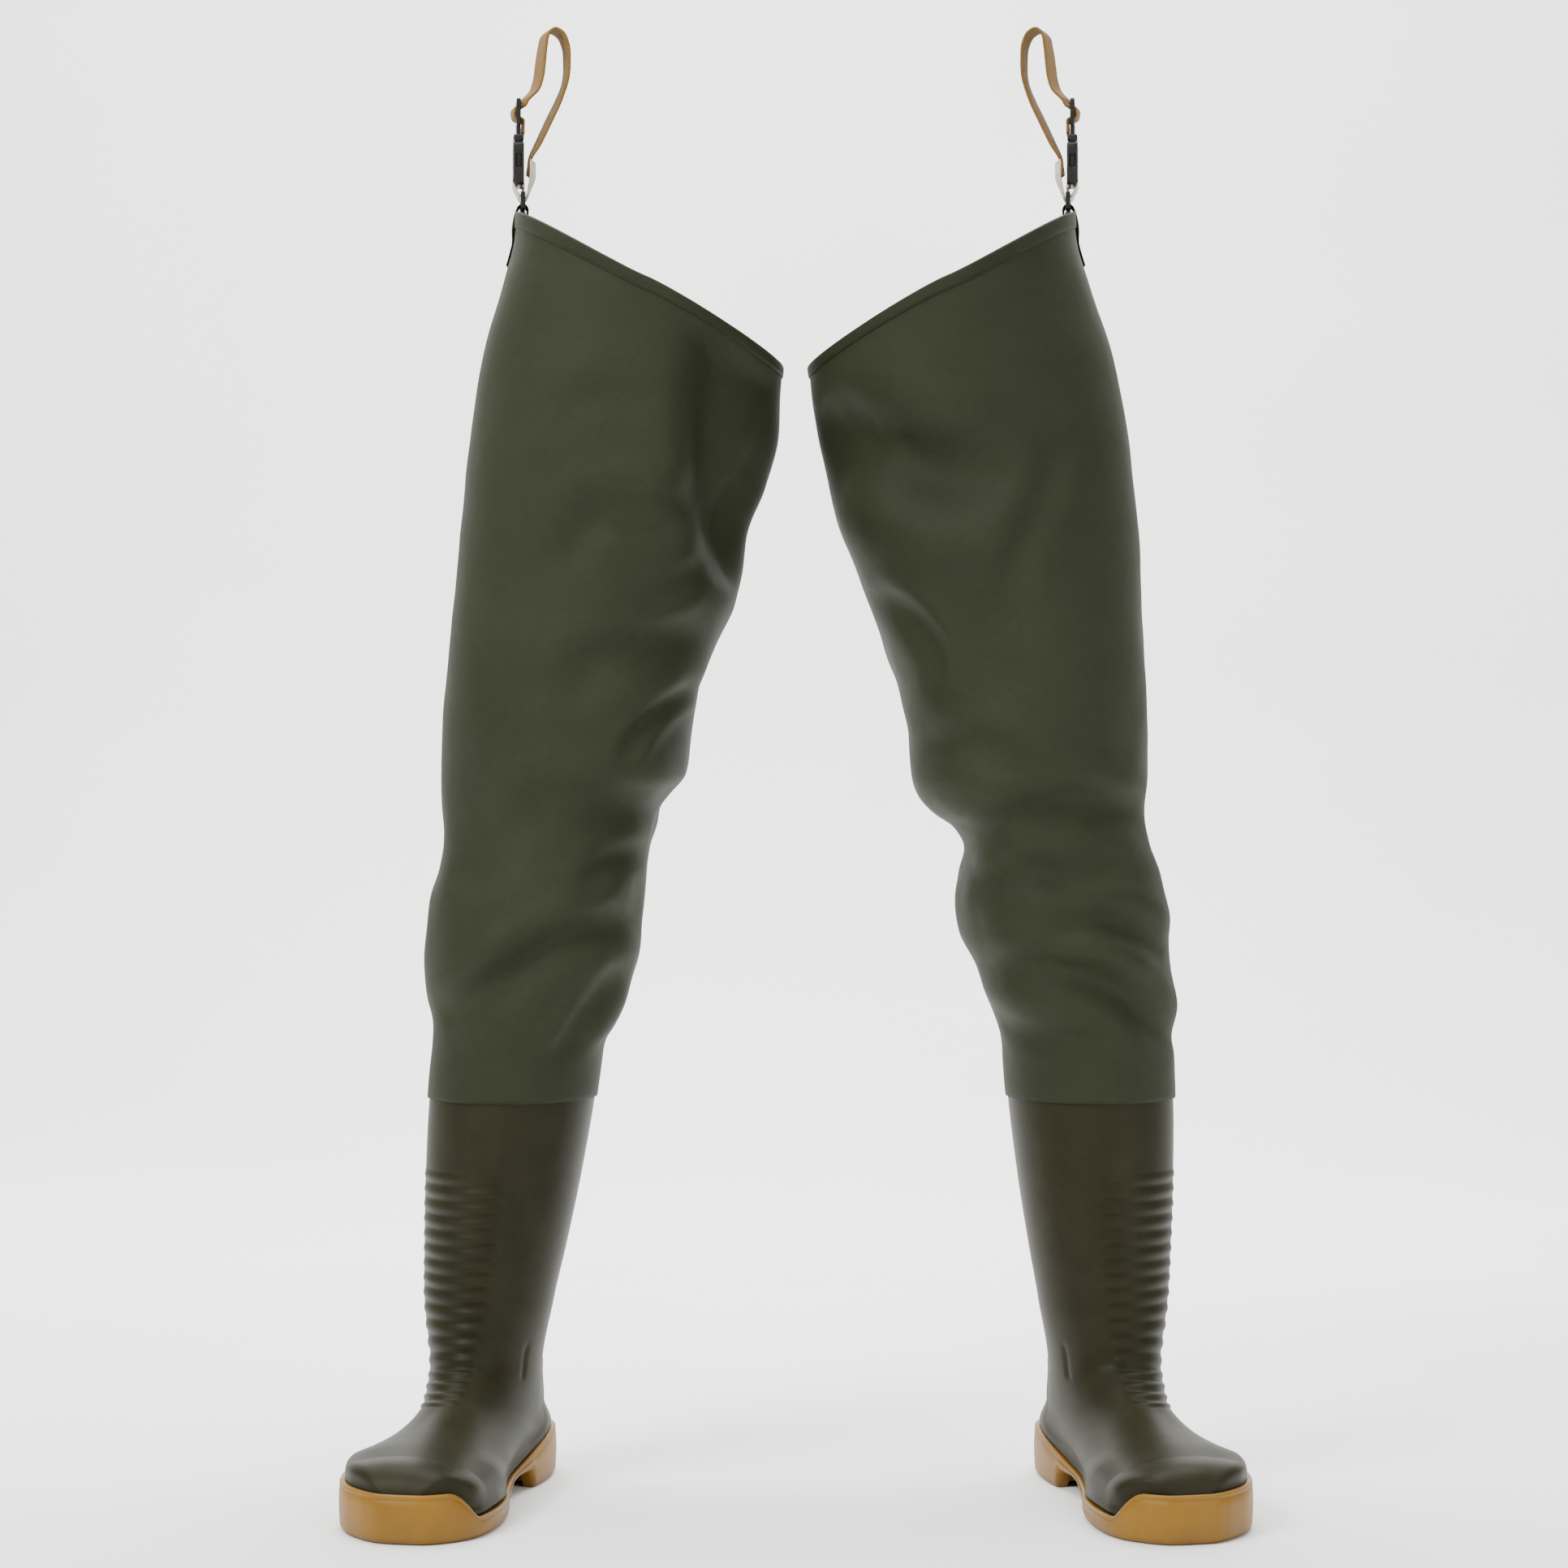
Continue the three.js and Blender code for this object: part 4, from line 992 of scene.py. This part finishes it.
def build_lining(side):
    rows = boot_rows(side)
    grid, _ = section_rings(rows[rows[:, 1] < CUFF_BOTTOM], LINING_AROUND)
    grid = seat_on_sole(grid)
    grid = grid - grid_normals(grid) * LINING_INSET
    grid = grid[:-12:2]
    rows, columns = grid.shape[:2]
    obj = add_mesh(side + "_knit_lining", grid, ring_faces(rows, columns), side)
    fix_normals(obj)
    thicken(obj, LINING_THICK)
    finish_piece(obj, side + "_boot", lining_knit, side + "_boot_lining")


def refined(node, name, bevel, material, body, segments):
    """A copy of a hard CAD piece with its edges rounded, in the same place."""
    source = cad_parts[node]
    mesh = bmesh.new()
    mesh.from_mesh(source.data)
    bmesh.ops.remove_doubles(mesh, verts=mesh.verts, dist=1e-6)
    bmesh.ops.dissolve_limit(mesh, angle_limit=np.radians(2), verts=mesh.verts, edges=mesh.edges)
    mesh.transform(source.matrix_world)
    data = bpy.data.meshes.new(name)
    mesh.to_mesh(data)
    mesh.free()
    obj = bpy.data.objects.new(name, data)
    bpy.context.scene.collection.objects.link(obj)
    round_over = obj.modifiers.new("edges", "BEVEL")
    round_over.width = bevel
    round_over.segments = segments
    round_over.limit_method = "ANGLE"
    round_over.angle_limit = np.radians(28)
    round_over.use_clamp_overlap = True
    apply_modifiers(obj)
    obj.data.shade_smooth()
    obj.data.set_sharp_from_angle(angle=np.radians(40))
    finish_piece(obj, body, material, node)
    return obj


# ---- the hanger
# The hanger has its own axes, in millimetres: the ring's upper bar is at the origin, and x runs to the
# pair's middle. The lap lies where the photo has it, and the buckle's places are the CAD's.
STRAP_TWIST = np.radians(5)
RING_BAR = 3.2
HANGER = Vector(((ring_low.x + ring_high.x) / 2, ANKLE_Y, ring_high.z - RING_BAR / 2 * MM))
WEBBING = 24
BELT_THICK = 2.3
CREAM_THICK = 1.7
WRAP = RING_BAR / np.sqrt(2) + 0.3 + 0.75
BUCKLE_X = -3
SLOT_LOW = 8.5
FRAME_LOW = 47.4
BARS = (FRAME_LOW, FRAME_LOW + 8)
BAR_HALF = 1.5
LAP_LOW = 12
LAP_HIGH = 24
LAP_X = 4.7
LAP_TURN = -9
LAP_PIVOT = 5
CROWN = 116


def turned(x, y, angle, pivot=0):
    """(x, y) turned about the upright line at x = pivot."""
    c, s = np.cos(angle), np.sin(angle)
    return pivot + (x - pivot) * c - y * s, (x - pivot) * s + y * c


def hanger_point(x, y, z):
    """From the hanger's axes to the frame's."""
    return np.array([*turned(x, y, STRAP_TWIST), z]) * MM + np.array(HANGER)


def ribbon(name, side, path, width, thickness, turn, count, taper=(1, 1), swell=(1, 1), pivot=0):
    """Webbing along a path of (x, z) points in the hanger's axes.

    turn gives its turn in degrees about an upright line at x = pivot, at even steps along the path.
    taper and swell give the shares of its width and its thickness, also at even steps.
    """
    line = smooth_line(path, count)
    run = run_along(line)
    share = run / run[-1]
    ahead = np.gradient(line, run, axis=0)
    ahead /= np.linalg.norm(ahead, axis=1, keepdims=True)
    turns, widths, heights = (curve(np.linspace(0, 1, len(k)), k, share) for k in (turn, taper, swell))
    turns = np.radians(turns)
    u = np.sin(np.linspace(-np.pi / 2, np.pi / 2, 13))
    selvedge = 1 + 0.12 * np.exp(-((np.abs(u) - 0.86) / 0.08) ** 2)
    lift = np.sqrt(np.maximum(1 - np.abs(u) ** 10, 0)) * selvedge
    section = list(zip(u, lift)) + list(zip(u[-2:0:-1], -lift[-2:0:-1]))
    points = []
    uv = []
    for i in range(count):
        x, z = line[i]
        tx, tz = ahead[i]
        for a, b in section:
            w = a * widths[i] * width / 2
            h = b * heights[i] * thickness / 2
            points.append(hanger_point(*turned(x - tz * h, w, turns[i], pivot), z + tx * h))
            uv.append((run[i] * MM, w * MM))
    columns = len(section)
    faces = ring_faces(count, columns)
    faces.append(tuple(range(columns)))
    faces.append(tuple(range((count - 1) * columns, count * columns))[::-1])
    return fix_normals(add_mesh(name, points, faces, side, uv))


STITCH = 2.2
STITCH_GAP = 1.0
THREAD = 0.55


def stitches(name, side, rows, body):
    """Sewing thread laid along rows of (x, y, z) points in the hanger's axes."""
    points = []
    faces = []
    for row in rows:
        row = np.array(row, float)
        run = run_along(row)
        at = 0.0
        while at + STITCH <= run[-1] + 1e-6:
            ends = (at, at + STITCH)
            a, b = (np.array([np.interp(end, run, row[:, c]) for c in range(3)]) for end in ends)
            along = (b - a) / np.linalg.norm(b - a)
            side_way = np.cross(along, [1, 0, 0])
            side_way /= np.linalg.norm(side_way)
            out = np.cross(side_way, along)
            base = len(points)
            for share, size in ((0, 0.35), (0.18, 0.9), (0.5, 1.0), (0.82, 0.9), (1, 0.35)):
                for turn in np.arange(6) / 6 * 2 * np.pi:
                    spoke = (side_way * np.cos(turn) + out * np.sin(turn)) * THREAD / 2 * size
                    points.append(hanger_point(*(a + along * STITCH * share + spoke)))
            for face in ring_faces(5, 6):
                faces.append(tuple(base + i for i in face))
            faces.append(tuple(base + k for k in range(5, -1, -1)))
            faces.append(tuple(base + 24 + k for k in range(6)))
            at += STITCH + STITCH_GAP
    obj = fix_normals(add_mesh(name, points, faces, side))
    finish_piece(obj, body, thread)


def box_stitch(x, low, high, half):
    """A sewn rectangle with a cross in it, on a face at x."""
    corners = [(x, -half, low), (x, half, low), (x, half, high), (x, -half, high), (x, -half, low)]
    return [corners, [(x, -half, low), (x, half, high)], [(x, half, low), (x, -half, high)]]


def build_tab(side):
    """The fabric strip loops through the ring, and its two ends hold the leg's rim between them."""
    edge = np.array(LEG_EDGES[side]["outer"], float)

    def limb(heights, out):
        """Points beside the leg's wall at the given heights, so far out from its face."""
        face = -HANGER.x / MM - curve(edge[:, 0], edge[:, 1], HANGER.z / MM + np.array(heights))
        return list(zip(face - out, heights))

    inside = limb((-50, -42, -34), -2.0) + limb((-26, -20), -3.3)
    over = [(2.2, -16), (3.5, -12.5), (2.8, -8.8), (0, -7.1), (-2.9, -8.6), (-4.4, -12), (-5.2, -15.5)]
    outside = limb((-20, -26), 1.9) + limb((-34, -42, -50), 0.8)
    loop = ribbon(side + "_hanger_loop", side, inside + over + outside, WEBBING, FABRIC / MM,
                  turn=(-5, -5, -3, 0, -3, -5, -5), count=150,
                  taper=(1.1, 1.05, 1.0, 0.98, 1.0, 1.05, 1.1), swell=(1, 1, 1.6, 1, 1.6, 1, 1))
    between = [(-1.6, -27), (-1.2, -21), (-1.1, -16), (-1.1, -12.7)]
    core = ribbon(side + "_hanger_core", side, between, WEBBING - 1, 8.4, turn=(-4, -2), count=40,
                  swell=(0.25, 0.95, 1, 0.8))
    finish_piece(core, side + "_thigh", coated_fabric)
    finish_piece(loop, side + "_thigh", coated_fabric, side + "_hanger_tab")
    (top, _), (low, _) = limb((-34, -46), 1.5)
    box = box_stitch(0, -46, -30, 9.5)
    rows = [[(mix(top, low, (-34 - z) / 12), y, z) for _, y, z in row] for row in box]
    stitches(side + "_hanger_stitching", side, rows, side + "_thigh")


def build_anchor_webbing(side):
    """The cream webbing, from the socket's bar round the ring to the lap."""
    clear = BAR_HALF + 0.3 + 0.75 + 0.7
    inner = BUCKLE_X + clear
    path = [
        (inner + 0.2, SLOT_LOW - 4), (inner, SLOT_LOW - 1), (BUCKLE_X, SLOT_LOW + 2.5),
        (BUCKLE_X - clear, SLOT_LOW - 1.4), (BUCKLE_X - clear * 0.6, 3), (-WRAP, 0),
        (-WRAP * 0.7, -WRAP * 0.7), (0, -WRAP), (WRAP * 0.7, -WRAP * 0.7), (WRAP, 0), (5.0, 6),
        (LAP_X + 2.1, LAP_LOW), (LAP_X + 2.4, LAP_HIGH),
    ]
    turn = (0, 0, 0, 0, -4, LAP_TURN, LAP_TURN)
    obj = ribbon(side + "_cream_webbing", side, path, WEBBING, CREAM_THICK, turn, 110, pivot=LAP_PIVOT)
    finish_piece(obj, side + "_strap", cream_webbing, side + "_anchor_webbing")


def build_belt_strap(side):
    """The loop, and the wrap that holds its end in the plug's slider."""
    clear = BAR_HALF + 0.6 + BELT_THICK / 2
    inner = BUCKLE_X + clear
    outer = BUCKLE_X - clear
    low, high = (bar + 2 * BAR_HALF + 2.5 for bar in BARS)
    loop = [
        (LAP_X, LAP_LOW + 1), (LAP_X + 0.3, LAP_HIGH), (10.8, 36), (18.5, 52), (26, 68), (30.6, 82),
        (31.4, 95), (30.4, 106), (26.5, CROWN - 2.4), (21, CROWN), (16.6, CROWN - 3.4), (14.4, 104),
        (12.8, 92), (11.4, 82), (8.4, 73.5), (inner + 2.4, 67.5), (inner + 0.4, high + 4.5),
    ]
    wrap = [
        (inner + 0.4, high + 4.5), (inner - 1.2, high + 0.6), (BUCKLE_X, high), (outer + 0.6, high - 0.8),
        (outer, BARS[1] + 1.5), (outer + 0.6, low + 0.8), (BUCKLE_X, low), (inner - 0.4, low - 1),
        (inner - 0.1, BARS[0] - 0.5), (inner - 0.1, BARS[0] - 4.5),
    ]
    strap = ribbon(side + "_belt_loop", side, loop, WEBBING, BELT_THICK,
                   turn=(LAP_TURN, 10, 11, 7, 8, 12, 15, 15), count=240, pivot=LAP_PIVOT)
    strap.data.materials.append(tan_webbing)
    # A point at the ring's upper bar and a direction outwards and up from it, mirrored on the left wader.
    way = np.array([-1, 0, 0.45]) / np.hypot(1, 0.45)
    origin = hanger_point(0, 0, 0)
    along = hanger_point(*(way * 1000)) - origin
    along /= np.linalg.norm(along)
    if side == "left":
        origin[0] *= -1
        along[0] *= -1
    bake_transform(strap)
    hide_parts(side + "_belt_strap")
    held = ribbon(side + "_belt_strap_wrap", side, wrap, WEBBING, BELT_THICK, turn=(15, 6, 0, 0), count=110,
                  pivot=LAP_PIVOT)
    finish_piece(held, side + "_plug", tan_webbing)
    box = box_stitch(LAP_X + 2.25 + 0.85, LAP_LOW + 2, LAP_HIGH - 1.5, 10)
    rows = [[(*turned(x, y, np.radians(LAP_TURN), LAP_PIVOT), z) for x, y, z in row] for row in box]
    stitches(side + "_lap_stitching", side, rows, side + "_strap")


def build_hanger(side):
    build_tab(side)
    build_anchor_webbing(side)
    build_belt_strap(side)
    for node, name, body, bevel, segments in (
        ("_anchor_ring", "_ring_bar", "_ring", 0.7, 3),
        ("_buckle_socket", "_socket_body", "_strap", 0.45, 2),
        ("_buckle_plug", "_plug_body", "_plug", 0.45, 2),
    ):
        refined(side + node, side + name, bevel * MM, black_plastic, side + body, segments)


# ---- camera, light and floor
CAMERA_DISTANCE = 2.95
CAMERA_HEIGHT = 0.56
VIEW_HEIGHT = 0.493
SENSOR = 36
VIEW_SIDE = -8 * MM
FRAME_WIDTH = 1.101  # what the picture spans at the legs


def aim(name, data, place, target):
    """An object at a place that looks at the target."""
    obj = bpy.data.objects.new(name, data)
    obj.location = place
    obj.rotation_euler = (Vector(target) - Vector(place)).to_track_quat("-Z", "Y").to_euler()
    bpy.context.scene.collection.objects.link(obj)
    return obj


def add_light(name, place, target, power, size):
    data = bpy.data.lights.new(name, "AREA")
    data.energy = power
    data.shape = "RECTANGLE"
    data.size, data.size_y = size
    aim(name, data, place, target)


def build_studio():
    """The camera in front, soft lights round the waders, and a pale sweep behind them."""
    camera = bpy.data.cameras.new("camera")
    camera.sensor_width = SENSOR
    camera.lens = SENSOR * CAMERA_DISTANCE / FRAME_WIDTH
    place = (VIEW_SIDE, ANKLE_Y - CAMERA_DISTANCE, CAMERA_HEIGHT)
    bpy.context.scene.camera = aim("camera", camera, place, (VIEW_SIDE, ANKLE_Y, VIEW_HEIGHT))

    add_light("key", (-1.9, -2.0, 2.6), (0, 0, 0.5), 142, (1.3, 1.3))
    add_light("fill", (1.9, -2.2, 1.3), (0, 0, 0.45), 38, (1.8, 1.8))
    add_light("top", (0, 0.2, 2.8), (0, 0, 0.3), 100, (2.4, 2.0))
    add_light("back", (0, 2.2, 1.9), (0, 0, 0.5), 40, (2.2, 1.4))
    add_light("backdrop", (0, 0.8, 2.6), (0, 3.1, 0.7), 190, (3.2, 1.0))

    world = bpy.data.worlds.new("studio")
    world.use_nodes = True
    background = world.node_tree.nodes["Background"]
    background.inputs[0].default_value = (1, 1, 1, 1)
    background.inputs[1].default_value = 0.4
    bpy.context.scene.world = world

    n = Nodes("studio_floor")
    tone = n.ramp(n.noise(0.5, 2), [(0.3, (0.86, 0.86, 0.85)), (0.7, (0.9, 0.9, 0.89))])
    n.done(tone, 0.9)
    reach = 9.0
    back = 3.2
    bend = 1.2
    sweep = [(-8.0, 0.0), (back - bend, 0.0)]
    for step in np.linspace(0, np.pi / 2, 12)[1:]:
        sweep.append((back - bend + bend * np.sin(step), bend * (1 - np.cos(step))))
    sweep.append((back, 6.0))
    points = [(x, y, z) for y, z in sweep for x in (-reach, reach)]
    faces = [(2 * i, 2 * i + 1, 2 * i + 3, 2 * i + 2) for i in range(len(sweep) - 1)]
    floor = add_mesh("studio_floor", points, faces)
    floor.data.materials.append(n.material)


# ---- making it all
build_studio()
for side in ("right", "left"):
    build_boot_upper(side)
    build_outsole(side)
    build_lining(side)
    footbed = refined(
        side + "_insole", side + "_footbed", 1.2 * MM, insole_foam, side + "_boot", 2)
    build_leg(side)
    build_hanger(side)
